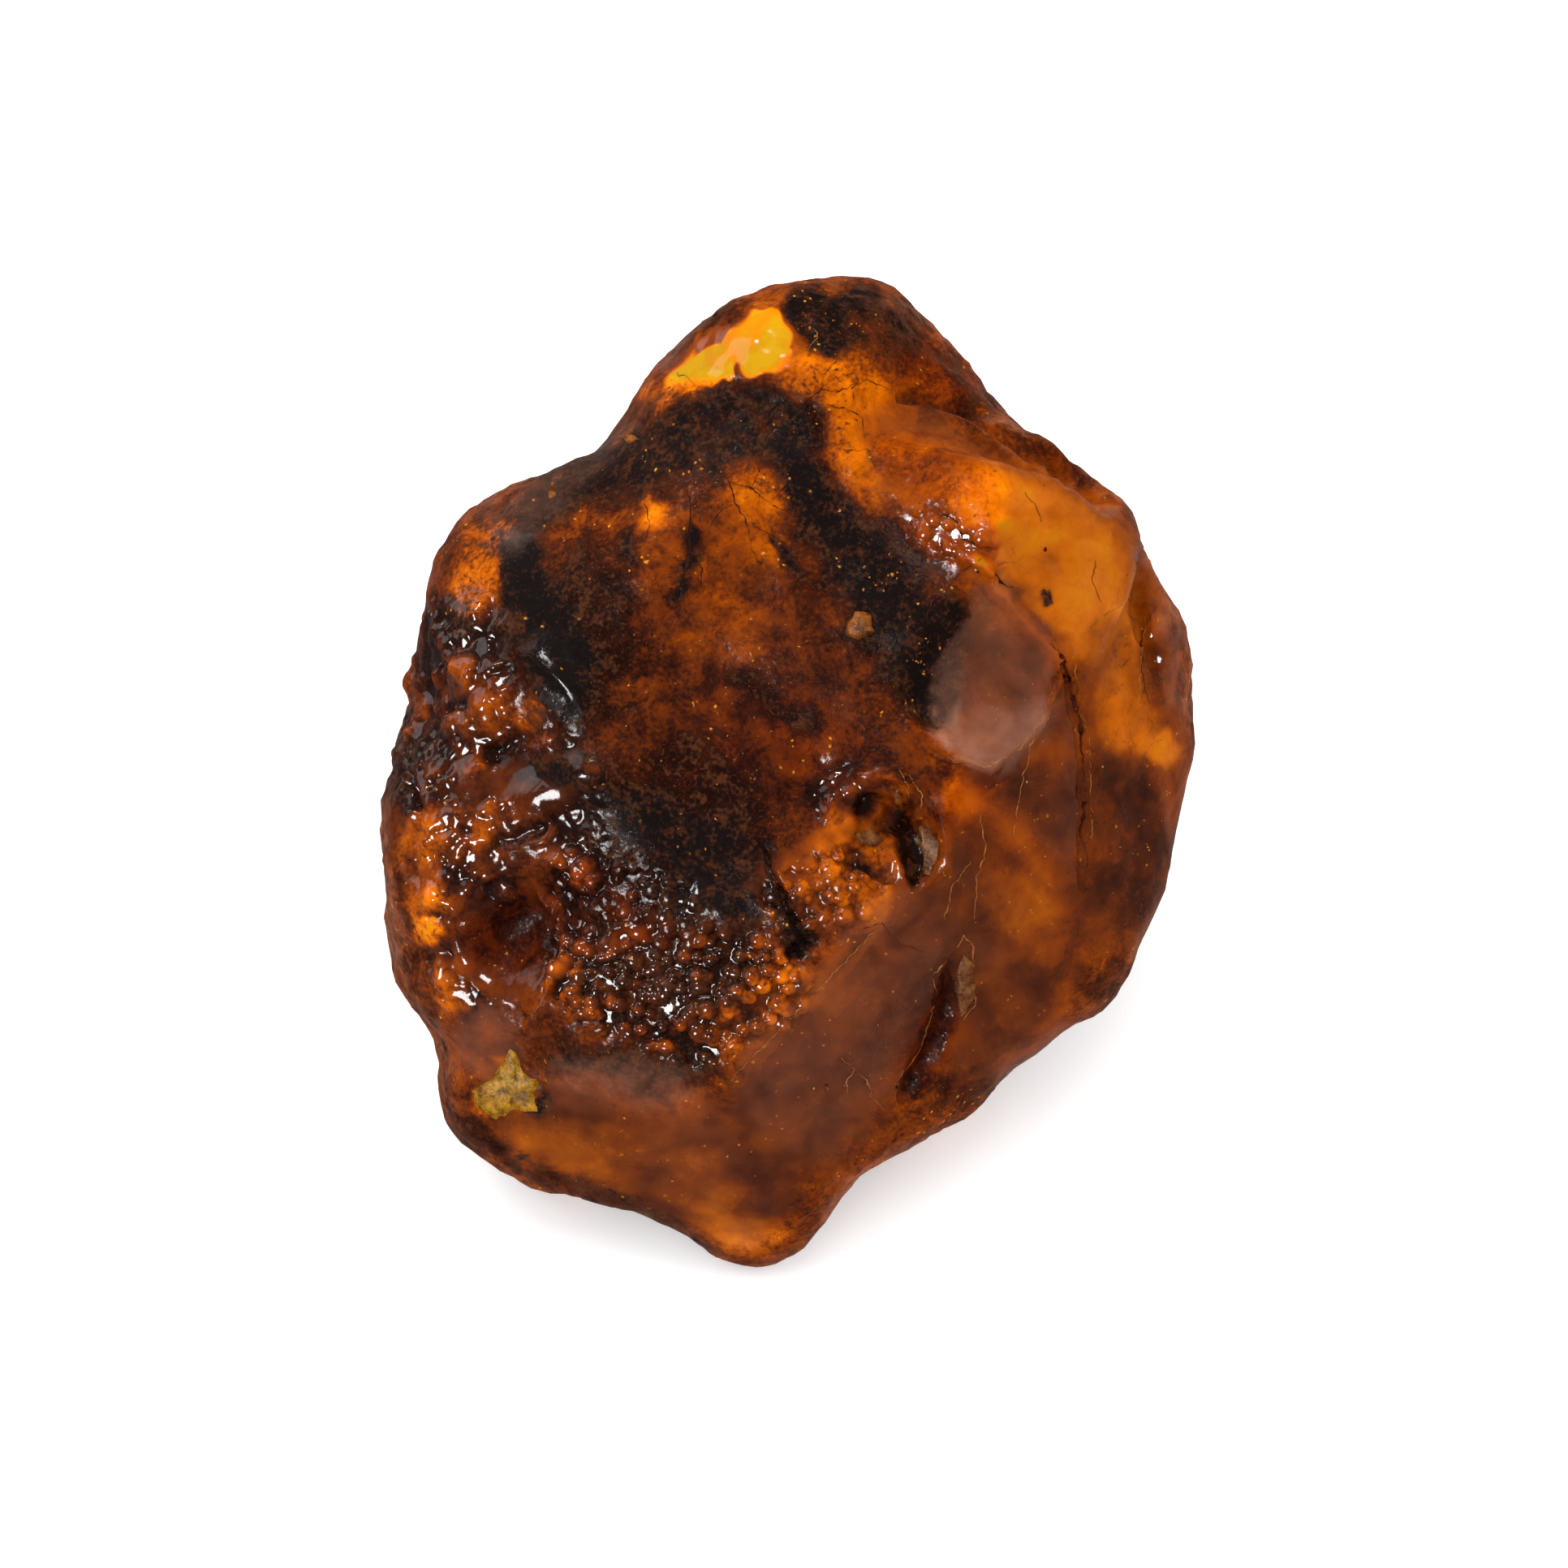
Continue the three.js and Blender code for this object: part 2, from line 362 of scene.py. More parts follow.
TONES = marks(
    # left slope
    (0.27, 0.40, (-20.0, 5.0, 4.4), (-19.6, -3.0, 5.0)),
    (0.68, 0.40, (-22.6, -3.6, 1.5), (-22.4, -7.4, 1.3)),
    (0.98, 0.20, (-22.3, -9.6, 0.9)),
    (0.48, 0.30, (-21.6, -12.4, 1.5), (-20.8, -13.6, 1.2)),
    (0.42, 0.40, (-20.6, 7.2, 1.6), (-21.8, 4.2, 1.4)),
    (0.58, 0.30, (-15.4, 4.4, 0.8), (-16.2, 3.2, 0.8)),
    (0.22, 0.35, (-17.2, -9.9, 2.9)),
    (0.72, 0.35, (-18.2, 13.8, 2.0), (-19.4, 11.2, 1.9)),
    (0.34, 0.40, (-22.0, 10.4, 1.2)),
    # crust face
    (0.27, 0.30, (-7.0, 8.0, 7.0), (0.0, 2.0, 8.0)),
    (0.42, 0.70, (-5.6, 12.0, 2.8), (-4.2, 9.0, 3.0)),
    (0.30, 0.50, (0.2, 5.0, 2.6), (3.4, 2.6, 2.6)),
    (0.50, 0.40, (-1.7, 13.3, 0.9)),
    (0.58, 0.16, (-3.4, 18.2, 0.9), (-2.2, 18.9, 0.8), (-2.4, 17.2, 1.2), (-0.9, 17.6, 1.2),
     (-0.6, 16.0, 1.0), (-1.9, 15.6, 0.8)),
    (0.50, 0.50, (-2.4, 14.6, 1.2)),
    (0.84, 0.16, (-8.5, 16.5, 0.5), (-8.1, 15.6, 0.65)),
    (0.58, 0.30, (-10.0, 20.5, 0.9)),
    (0.66, 0.30, (-14.7, 17.3, 0.5)),
    (0.22, 0.40, (-9.0, -4.0, 4.4)),
    (0.24, 0.40, (-12.6, -7.6, 2.8), (-9.0, -8.6, 2.2)),
    # crown
    (0.46, 0.40, (-3.0, 27.6, 2.4), (7.0, 26.0, 3.4)),
    (0.56, 0.40, (-8.4, 23.4, 1.0), (-5.4, 23.6, 0.9)),
    (1.02, 0.10, (-7.5, 23.7, 0.6), (-6.6, 24.2, 0.8), (-5.5, 24.5, 1.1), (-4.4, 25.2, 1.0),
     (-3.9, 24.4, 0.6)),
    (0.96, 0.10, (-3.2, 26.0, 0.9), (-2.5, 27.0, 1.1), (-1.2, 27.7, 0.8), (-1.0, 26.4, 1.1),
     (-2.0, 25.4, 1.1), (-0.5, 25.1, 0.7)),
    (0.42, 0.30, (-7.0, 26.9, 0.8), (-3.4, 28.3, 0.9)),
    (0.68, 0.35, (1.0, 24.1, 1.5), (4.8, 23.5, 1.7)),
    (0.64, 0.35, (3.2, 21.4, 1.3), (4.0, 18.6, 1.0), (5.0, 16.4, 0.8)),
    (0.46, 0.30, (8.0, 25.2, 1.5), (10.2, 23.6, 1.3), (7.0, 24.6, 0.8)),
    # upper right flow
    (0.54, 0.35, (6.6, 20.2, 2.1), (9.6, 17.4, 2.9)),
    (0.82, 0.40, (12.6, 15.6, 3.2), (17.4, 12.8, 3.6), (18.2, 9.6, 2.8)),
    (0.54, 0.40, (8.6, 15.0, 1.4), (11.4, 13.6, 1.2)),
    # shell-shaped chip
    (0.30, 0.08, (12.4, 10.4, 1.6), (12.9, 7.4, 3.2), (11.6, 4.0, 3.5)),
    (0.46, 0.40, (9.6, 2.2, 1.2), (12.2, 1.8, 1.6), (14.2, 3.6, 1.2)),
    # right rim
    (0.62, 0.40, (19.8, 7.4, 1.9), (20.6, 3.4, 2.0)),
    (0.50, 0.40, (22.6, 12.4, 1.2), (23.8, 7.4, 1.2), (24.0, 4.4, 0.9)),
    (0.74, 0.35, (22.8, 1.7, 1.3)),
    (0.60, 0.40, (11.6, 12.6, 0.5), (13.0, 10.6, 0.7), (14.6, 8.8, 0.6), (16.4, 7.2, 0.5)),
    (0.28, 0.50, (20.0, -1.0, 2.0), (21.2, -4.4, 2.5), (20.2, -8.0, 2.0)),
    (0.46, 0.40, (19.8, -11.6, 2.0), (17.6, -13.4, 1.6)),
    # lower right flank and polished facet
    (0.29, 0.40, (15.4, 5.0, 1.8), (14.4, -4.0, 3.6), (12.0, -14.0, 4.4)),
    (0.27, 0.30, (6.0, -12.0, 4.4)),
    (0.31, 0.30, (0.6, -20.0, 4.2)),
    (0.60, 0.20, (10.0, -1.3, 1.2), (12.2, -2.3, 1.2)),
    (0.46, 0.60, (13.6, -8.0, 3.4)),
    (0.68, 0.70, (14.2, -7.8, 2.2)),
    (0.42, 0.60, (11.2, -17.0, 2.0)),
    (0.16, 0.80, (4.9, -16.9, 1.3)),
    (0.18, 0.80, (6.8, -12.0, 1.9)),
    (0.36, 0.60, (1.6, -23.0, 1.8), (5.4, -20.6, 1.4)),
    (0.50, 0.50, (2.4, -6.6, 1.4), (5.0, -8.4, 1.2)),
    # bottom chamfer and toe
    (0.40, 0.35, (-14.0, -21.6, 2.6), (-6.0, -24.0, 3.2)),
    (0.62, 0.60, (-16.0, -22.9, 1.1), (-12.0, -24.2, 1.4)),
    (0.50, 0.60, (-8.6, -23.4, 1.6), (-5.2, -24.6, 1.4)),
    (0.36, 0.40, (-1.6, -23.0, 2.4)),
    (0.46, 0.50, (-1.7, -22.5, 1.0)),
    (0.70, 0.50, (-3.8, -28.2, 1.4), (-1.4, -28.7, 1.3)),
    (0.27, 0.35, (-18.4, -16.4, 2.1)),
    (0.80, 0.40, (-18.9, -20.3, 0.7), (-17.4, -19.4, 0.9), (-16.2, -20.0, 0.8),
     (-17.0, -17.8, 0.5)),
    # pebbled apron
    (0.34, 0.30, (-10.6, -12.4, 3.4), (-6.0, -14.0, 3.4)),
    (0.52, 0.45, (-2.8, -15.4, 2.2), (2.0, -11.6, 1.6)),
    (0.54, 0.40, (3.2, -4.4, 1.8), (4.8, -6.8, 1.8), (6.2, -1.2, 0.8)),
    (0.25, 0.40, (9.5, -13.0, 0.7), (9.1, -15.6, 0.9), (8.2, -17.8, 0.8), (7.2, -19.6, 0.7)),
)

CRUSTS = marks(
    # arch over the crust face
    (0.95, 0.79, (-17.4, 14.8, 1.3), (-14.2, 17.4, 1.6), (-9.8, 19.6, 1.8), (-4.6, 21.6, 2.0),
     (-0.8, 21.2, 2.2), (0.9, 18.4, 1.5), (2.2, 15.4, 1.5)),
    (0.66, 0.90, (-1.8, 21.4, 1.5)),
    (0.78, 0.88, (-9.4, 18.4, 1.8), (-4.8, 19.8, 1.9)),
    (0.95, 0.79, (3.4, 14.0, 2.2), (5.4, 11.6, 3.0), (8.0, 7.4, 2.4), (9.0, 5.0, 1.6)),
    (1.12, 0.79, (-16.4, 13.2, 1.4), (-14.8, 9.4, 2.6), (-13.6, 5.4, 2.3)),
    (0.60, 0.98, (-12.2, 13.0, 1.8), (-10.6, 8.4, 1.6)),
    (1.00, 0.50, (-5.8, 14.9, 0.36), (-6.0, 13.9, 0.42), (-6.2, 12.8, 0.36), (-6.5, 11.9, 0.42),
     (-7.0, 10.9, 0.34), (-7.3, 9.9, 0.24)),
    (0.90, 0.60, (-9.9, 14.4, 0.3), (-9.6, 13.0, 0.3)),
    (0.90, 0.60, (-1.2, 14.4, 0.3), (-0.2, 13.2, 0.3), (0.6, 12.0, 0.3)),
    # over the lower half
    (0.80, 0.88, (-15.2, -0.4, 1.4), (-12.6, 0.4, 1.5)),
    (0.92, 0.88, (-11.2, -2.2, 2.0), (-8.0, -3.4, 2.8), (-4.6, -4.4, 2.6)),
    (0.84, 0.88, (-6.8, -7.2, 2.2), (-3.2, -7.8, 1.8)),
    (0.54, 0.98, (-6.4, 1.2, 1.6), (-2.6, -0.8, 1.6)),
    (0.66, 0.88, (-3.2, 5.6, 0.7), (-0.8, 4.4, 0.7), (1.4, 3.0, 0.6)),
    (0.80, 0.70, (-1.8, -4.8, 0.4), (-0.4, -7.8, 0.5), (0.8, -10.2, 0.6)),
    # The crack's end hole is painted black: crust and painted shade in the hole.
    (0.92, 0.53, (0.6, -10.4, 0.9)),
    (0.62, 0.90, (5.0, -2.6, 0.6), (7.0, -3.8, 0.4), (7.2, -6.2, 0.25)),
    # pebbled apron and the soft band below it
    (0.58, 0.70, (-11.6, -11.4, 2.6), (-7.0, -13.6, 3.0)),
    (0.48, 0.70, (-3.4, -11.6, 2.2), (-2.6, -15.6, 1.8)),
    (0.74, 0.88, (-14.0, -17.2, 1.1), (-8.6, -18.4, 1.2), (-5.4, -18.0, 0.9)),
    # crown and upper left rim
    (0.86, 0.26, (0.8, 28.6, 1.4), (2.0, 27.2, 1.8), (4.2, 28.2, 1.6)),
    (0.66, 0.88, (5.2, 26.6, 1.6), (7.0, 28.0, 1.2)),
    (0.46, 0.88, (9.6, 25.4, 1.2), (12.0, 22.8, 1.0)),
    (0.50, 0.70, (-8.2, 26.0, 0.7), (-4.0, 28.7, 0.7)),
    (0.60, 0.88, (-20.6, 9.8, 1.4), (-18.4, 8.8, 1.5)),
    (0.44, 0.88, (-20.8, 13.6, 1.3), (-18.0, 15.8, 1.0)),
    # left rim
    (0.64, 0.88, (-24.0, -1.4, 0.7), (-23.6, 1.6, 0.8)),
    (0.42, 0.88, (-23.6, -6.0, 0.6), (-23.2, -11.6, 0.8), (-21.8, -14.6, 0.9)),
    # shell-shaped chip and right rim
    # Black crust along the chip's left lip, partly painted shade under the overhanging lip.
    (0.90, 0.70, (7.0, 4.8, 0.9), (9.2, 3.6, 0.9)),
    (0.92, 0.70, (10.0, 9.6, 0.9), (8.8, 7.4, 1.3), (8.4, 5.4, 1.0)),
    (0.38, 0.98, (19.6, -1.0, 1.6), (21.4, -5.0, 1.8), (20.4, -8.6, 1.4)),
    (0.56, 0.88, (23.8, 8.6, 0.8), (24.2, 4.4, 0.6)),
    (0.50, 0.88, (22.9, -4.0, 0.6), (22.4, -9.4, 0.8), (19.6, -13.8, 0.8)),
    (0.60, 0.98, (18.2, -12.8, 0.9)),
    (0.56, 0.98, (8.4, -19.6, 1.0), (11.6, -19.2, 1.1)),
    # brown patch in the orange flow
    (0.72, 0.60, (15.5, 10.9, 0.4), (15.8, 10.2, 0.3), (15.2, 11.3, 0.25)),
    # lower left edge
    (0.62, 0.88, (-20.2, -22.0, 0.8), (-14.8, -24.9, 0.6), (-9.0, -27.0, 0.6), (-4.8, -29.4, 0.5)),
    (0.84, 0.70, (-15.2, -20.5, 0.9)),
    (0.60, 0.88, (-10.1, -23.1, 0.25), (-9.4, -24.4, 0.3), (-8.6, -25.4, 0.25)),
    (0.58, 0.88, (-7.0, -26.3, 0.8)),
)

PAINTS = {
    Layer.TONE: TONES,
    Layer.CRUST: CRUSTS,
    Layer.RED: marks(
        (0.9, 0.50, (8.6, 15.0, 1.8), (11.4, 13.6, 1.6)),
        (0.8, 0.40, (-17.2, -9.9, 3.0)),
        (0.6, 0.50, (-12.4, -7.6, 2.8), (-8.6, -8.8, 2.2)),
        (0.9, 0.50, (9.6, -12.4, 0.9), (9.1, -15.8, 1.3), (7.4, -19.4, 1.0)),
        (0.5, 0.30, (11.6, 12.6, 0.6), (13.0, 10.6, 0.8), (14.6, 8.8, 0.7), (16.4, 7.2, 0.6)),
        (0.5, 0.60, (-2.0, 2.0, 4.0), (3.0, 1.0, 3.0)),
        (0.7, 0.50, (10.6, -1.9, 2.4)),
        (0.5, 0.50, (6.6, 20.2, 2.1), (9.6, 17.4, 2.4)),
        (0.8, 0.50, (8.0, 25.2, 1.6), (10.4, 23.4, 1.4)),
    ),
    # Painted sheen: pale reflections on facets, the chip, the slopes, the toe and the right rim.
    Layer.HAZE: marks(
        (0.36, 0.30, (6.6, -11.8, 4.2), (0.8, -19.4, 3.8)),
        (0.0, 0.30, (9.6, -12.0, 0.7), (9.1, -15.8, 1.2), (7.4, -19.4, 0.9)),
        (0.52, 0.08, (12.4, 10.2, 1.5), (12.9, 7.4, 3.1), (11.6, 4.0, 3.4)),
        (1.90, 0.30, (9.4, 2.4, 0.9), (12.0, 1.6, 1.5), (14.4, 3.6, 1.0)),
        (0.36, 0.60, (-17.4, 15.2, 1.4), (-13.4, 18.6, 1.2), (-10.2, 21.2, 0.9)),
        (0.42, 0.30, (-18.6, -16.6, 2.2)),
        (0.62, 0.50, (-13.4, -18.6, 1.4), (-7.4, -19.4, 1.4)),
        (0.20, 0.50, (-6.0, -22.0, 2.0)),
        (0.35, 0.60, (-2.6, -28.6, 1.0)),
        (0.60, 0.70, (22.8, 10.8, 0.6), (23.6, 7.8, 0.8), (24.0, 4.6, 0.6)),
    ),
    Layer.CLEAR: marks(
        (0.8, 0.25, (14.6, -4.0, 4.0), (10.0, -13.0, 6.4), (1.0, -21.0, 5.0)),
        (1.0, 0.30, (8.0, 18.6, 4.0), (17.6, 11.6, 5.0)),
        (0.9, 0.30, (20.6, 8.0, 3.4), (21.6, 1.0, 3.0)),
        (0.5, 0.30, (21.0, -4.0, 3.0), (18.6, -11.0, 3.0)),
        (0.9, 0.30, (-15.0, -22.4, 3.0), (-3.0, -26.0, 4.4)),
        (0.9, 0.30, (-17.2, -9.9, 3.2)),
        (0.3, 0.30, (-7.3, 24.8, 1.4), (3.0, 24.6, 3.2)),
        (0.8, 0.20, (12.6, 9.0, 3.2), (11.4, 3.6, 3.6)),
        (0.3, 0.40, (-4.0, 14.0, 4.0), (-1.0, 3.0, 6.0)),
    ),
    Layer.POLISH: marks(
        (1.0, 0.14, (7.4, -11.0, 4.0), (1.0, -20.0, 4.4)),
        (1.0, 0.20, (14.6, 2.0, 3.6), (14.4, -5.0, 5.0), (12.4, -14.0, 5.0)),
        (0.9, 0.25, (6.6, 20.0, 2.6), (10.0, 17.0, 3.4), (17.6, 11.6, 5.2)),
        (0.10, 0.50, (5.8, 19.4, 1.3), (8.4, 18.6, 1.6), (11.8, 17.6, 1.4), (6.8, 16.8, 0.8),
         (12.0, 15.8, 0.9)),
        (0.9, 0.30, (-15.7, -1.3, 1.4), (-12.5, 0.2, 1.2), (-19.6, -0.9, 0.9)),
        (0.9, 0.30, (-19.9, -11.7, 0.8), (-17.5, -13.5, 0.8), (5.4, -2.7, 0.7)),
        (0.8, 0.30, (20.6, 8.0, 3.0), (21.6, 0.0, 3.4), (20.4, -8.0, 3.0)),
        (1.0, 0.18, (-15.6, -21.8, 2.4), (-3.6, -24.6, 4.2)),
        (0.12, 0.25, (-17.2, -9.9, 2.8)),
        (0.15, 0.30, (9.4, -13.4, 0.8), (9.1, -15.6, 1.0), (8.4, -17.6, 0.9), (7.4, -19.2, 0.8)),
        (0.70, 0.50, (-15.2, 7.4, 1.3), (-14.0, 5.6, 1.2)),
        (0.60, 0.50, (-17.0, 15.2, 1.5), (-13.6, 18.0, 1.3), (-10.4, 20.6, 1.0)),
        (1.0, 0.20, (-18.5, -16.6, 2.1)),
        (0.9, 0.25, (-7.0, 24.9, 1.0), (-1.4, 26.3, 2.0)),
        (1.0, 0.12, (12.4, 10.2, 1.6), (12.9, 7.4, 3.1), (11.8, 4.0, 3.2)),
        (0.2, 0.60, (-4.6, 14.0, 4.4), (-1.4, 5.0, 5.0)),
        (0.6, 0.50, (-13.4, -18.2, 1.2), (-7.4, -19.2, 1.2)),
    ),
    Layer.PEBBLES: marks(
        (1.0, 0.25, (-11.4, -11.6, 3.8), (-6.0, -13.4, 4.4), (-2.0, -13.0, 3.4)),
        (0.8, 0.40, (0.6, -7.4, 2.2), (3.8, -7.0, 2.2)),
        (0.5, 0.50, (-12.6, -7.0, 2.6), (-7.6, -8.0, 2.6)),
        (0.6, 0.40, (8.4, 15.2, 1.4), (11.6, 13.4, 1.2)),
    ),
    Layer.WARTS: marks(
        (1.0, 0.35, (-20.4, 8.6, 3.0), (-20.6, 0.0, 4.0), (-20.4, -6.0, 3.4)),
        (0.9, 0.35, (-21.0, -12.4, 2.2), (-19.6, -14.0, 1.6)),
        (0.8, 0.50, (-14.6, 0.4, 2.8), (-13.6, -4.4, 2.8)),
        (0.9, 0.50, (2.4, -1.2, 1.8), (4.8, -3.4, 2.8), (6.4, -5.2, 1.8)),
        (0.2, 0.30, (5.4, -2.6, 0.8)),
        (0.35, 0.60, (-17.6, 14.4, 1.6), (-13.0, 18.0, 1.5)),
        (0.22, 0.30, (-15.7, -1.1, 1.5), (-12.5, 0.4, 1.3), (-19.6, -0.8, 1.0)),
        (0.30, 0.40, (-19.9, -11.6, 0.9), (-17.5, -13.4, 0.9)),
    ),
    Layer.VEINS: marks(
        (1.0, 0.50, (-4.6, 17.4, 3.0), (-1.0, 15.0, 3.4)),
        (0.9, 0.50, (1.6, 24.4, 2.2), (4.4, 21.6, 2.6)),
        (0.7, 0.50, (9.0, 15.4, 2.4), (12.0, 13.0, 2.0)),
        (0.8, 0.50, (21.0, 9.0, 2.4), (21.4, 2.4, 2.6)),
        (0.7, 0.50, (-19.0, 12.6, 3.0)),
        (0.4, 0.50, (-6.0, 25.0, 1.6)),
    ),
    Layer.RIPPLES: marks(
        (0.9, 0.40, (8.0, 15.8, 1.6), (11.4, 13.8, 1.6)),
        (0.55, 0.40, (6.6, 20.0, 2.2), (12.0, 17.0, 3.0), (17.0, 12.0, 3.4)),
        (0.6, 0.40, (20.6, 8.0, 3.0), (21.6, -4.0, 3.2)),
        (0.7, 0.40, (0.0, 26.0, 6.0)),
    ),
}

CARVINGS = (
    # fissure, with a lip on its left
    Carving(0.95, ((9.7, -11.8, 0.5), (9.5, -14.0, 0.9), (9.1, -15.8, 1.05), (8.3, -17.7, 0.9),
                   (7.3, -19.3, 0.8), (6.8, -20.2, 0.4)), 1.7),
    Carving(-0.25, ((9.2, -11.6, 0.4), (8.4, -13.0, 0.45), (7.8, -16.0, 0.45), (6.5, -18.8, 0.4))),
    # resin pit: two deep ends, a ledge, and a raised brim
    Carving(0.9, ((4.6, -2.2, 1.2), (6.4, -3.0, 1.3)), 1.3),
    Carving(1.1, ((7.0, -2.6, 0.6), (7.0, -4.4, 0.7), (7.5, -6.8, 0.5)), 1.7),
    Carving(0.6, ((8.2, -3.4, 0.9), (8.4, -5.6, 0.9)), 1.4),
    Carving(0.5, ((4.0, -5.4, 0.9), (5.6, -6.4, 0.9))),
    Carving(-0.6, ((5.4, -2.7, 0.8),)),
    Carving(-0.35, ((3.0, -0.4, 0.8), (6.0, 0.0, 0.7), (8.6, -0.6, 0.6))),
    Carving(-0.3, ((9.4, -2.6, 0.5), (9.4, -6.0, 0.5))),
    # brim, shadowed lip and front edge of the shell-shaped chip
    Carving(0.35, ((8.6, 8.4, 0.5), (7.9, 5.6, 0.8), (7.8, 4.0, 0.9), (9.6, 2.6, 0.6))),
    Carving(-0.3, ((7.0, 3.2, 0.45), (9.6, 0.9, 0.45), (12.0, 0.2, 0.45), (14.6, 2.0, 0.45),
                   (16.4, 5.6, 0.4))),
    # thick lip of the flow where it runs down to the chip
    Carving(-0.55, ((11.4, 13.0, 0.5), (12.6, 11.2, 0.75), (14.0, 9.3, 0.7), (15.4, 8.1, 0.6),
                    (16.6, 7.0, 0.4))),
    # stepped crack down the right flank
    Carving(0.4, ((16.6, 7.2, 0.4), (17.5, 4.0, 0.5), (18.0, 0.6, 0.5), (17.9, -3.4, 0.45),
                  (18.1, -7.0, 0.35)), 2.0),
    # cleft beside the right rim bulge
    Carving(0.9, ((21.8, 13.6, 0.5), (21.4, 10.0, 0.8), (22.4, 6.6, 0.6))),
    # crease above the upper right flow
    Carving(0.9, ((6.8, 23.0, 0.6), (10.6, 22.4, 0.9), (14.0, 20.4, 0.9), (17.4, 18.0, 0.7))),
    # crack through the pebbles
    Carving(0.7, ((-1.8, -4.7, 0.3), (-0.4, -7.6, 0.5), (0.8, -10.2, 0.5))),
    Carving(1.0, ((0.0, -10.8, 0.7), (1.4, -10.2, 0.6))),
    # crescent ridge of the thumb hollow, and the edge of the corner bite
    Carving(-0.55, ((-15.0, -7.2, 0.5), (-14.0, -9.4, 0.7), (-14.0, -11.4, 0.7),
                    (-14.8, -13.2, 0.6), (-16.0, -15.8, 0.5))),
    Carving(0.5, ((-17.4, -10.2, 2.6),)),
    Carving(0.5, ((-17.6, -13.6, 1.0), (-16.6, -15.0, 0.7))),
    Carving(0.5, ((-15.4, -16.6, 0.7), (-15.6, -19.4, 0.8))),
    # slots in the left slope
    Carving(0.3, ((-22.0, 3.6, 0.5), (-20.0, 4.4, 0.8), (-17.0, 6.2, 0.8))),
    Carving(0.6, ((-23.2, -0.2, 0.5), (-23.2, -2.2, 0.4))),
    Carving(0.35, ((-18.4, 0.8, 1.0), (-16.2, 2.4, 1.0))),
    Carving(0.5, ((-17.8, -4.0, 1.0), (-15.4, -3.4, 0.9))),
    # broad wet knobs on the left, and a ridge above them
    Carving(-0.35, ((-16.4, 7.4, 0.5), (-15.0, 6.5, 0.45), (-13.6, 5.4, 0.45), (-12.8, 3.8, 0.4))),
    Carving(-0.45, ((-15.8, -1.5, 1.5),)),
    Carving(-0.45, ((-12.6, 0.0, 1.4),)),
    Carving(-0.4, ((-19.6, -0.9, 0.9),)),
    Carving(-0.4, ((-19.9, -11.8, 0.9),)),
    Carving(-0.4, ((-17.5, -13.6, 0.9),)),
    # gully under the crown knobs
    Carving(0.35, ((1.6, 22.4, 0.8), (2.4, 19.4, 0.8), (3.0, 16.8, 0.8))),
    Carving(-0.45, ((3.3, 21.1, 1.1),)),
    Carving(-0.35, ((3.9, 18.8, 0.8),)),
    # dimple and bump at the toe
    Carving(-0.35, ((-3.0, -27.6, 0.8),)),
    Carving(0.35, ((-1.7, -27.2, 0.6),)),
)


# ----------------------------------------
# Shader maths
# ----------------------------------------


class Signal:
    """One socket's number in a shader, on which Python's operators add Math nodes."""

    def __init__(self, shader: "Shader", socket: bpy.types.NodeSocket | None) -> None:
        """Wraps a socket.

        Args:
            shader: the shader that the socket belongs to.
            socket: an output socket, or None for a node that has none.
        """
        self.shader = shader
        self.socket = socket

    def _math(self, operation: str, *values: "Signal | float") -> "Signal":
        """Adds one Math node.

        Args:
            operation: what it works out.
            values: the signals or numbers that it works on.

        Returns:
            Its output.
        """
        inputs = dict(enumerate(values))
        return self.shader.add("ShaderNodeMath", {"operation": operation}, inputs)

    def __add__(self, other: "Signal | float") -> "Signal":
        """Adds."""
        return self._math("ADD", self, other)

    __radd__ = __add__

    def __mul__(self, other: "Signal | float") -> "Signal":
        """Multiplies."""
        return self._math("MULTIPLY", self, other)

    __rmul__ = __mul__

    def __sub__(self, other: "Signal | float") -> "Signal":
        """Subtracts."""
        return self._math("SUBTRACT", self, other)

    def __rsub__(self, other: "Signal | float") -> "Signal":
        """Subtracts from a number."""
        return self._math("SUBTRACT", other, self)

    def ramp(self, low: float, high: float) -> "Signal":
        """Rises smoothly from 0 to 1.

        Args:
            low: the level that gives 0.
            high: the level that gives 1.

        Returns:
            Numbers from 0 to 1.
        """
        settings = {"interpolation_type": "SMOOTHSTEP"}
        values = {"Value": self, "From Min": low, "From Max": high}
        return self.shader.add("ShaderNodeMapRange", settings, values)

    def clamped(self) -> "Signal":
        """Kept between 0 and 1."""
        return self.shader.add("ShaderNodeClamp", inputs={"Value": self})


def shade(red: int, green: int, blue: int) -> Colour:
    """A colour as light, from the 0 to 255 numbers of a colour chart.

    Args:
        red: the chart's red.
        green: the chart's green.
        blue: the chart's blue.

    Returns:
        Linear red, green and blue from 0 to 1.
    """
    return tuple(
        c / 12.92 if c <= 0.04045 else ((c + 0.055) / 1.055) ** 2.4
        for c in (red / 255, green / 255, blue / 255)
    )


@dataclass(frozen=True)
class Noise:
    """One kind of cloudy noise.

    Attributes:
        size: how far apart its clouds are, in mm.
        detail: how many finer layers it has.
        rough: how strong the finer layers are.
        twist: how far it is swirled.
    """

    size: float
    detail: float
    rough: float
    twist: float = 0.0


class Measure(Enum):
    """Which distance cellular noise measures."""

    TO_MIDDLE = "F1"
    TO_EDGE = "DISTANCE_TO_EDGE"


class Blend(Enum):
    """How two colours are mixed."""

    PLAIN = "MIX"
    STAIN = "MULTIPLY"


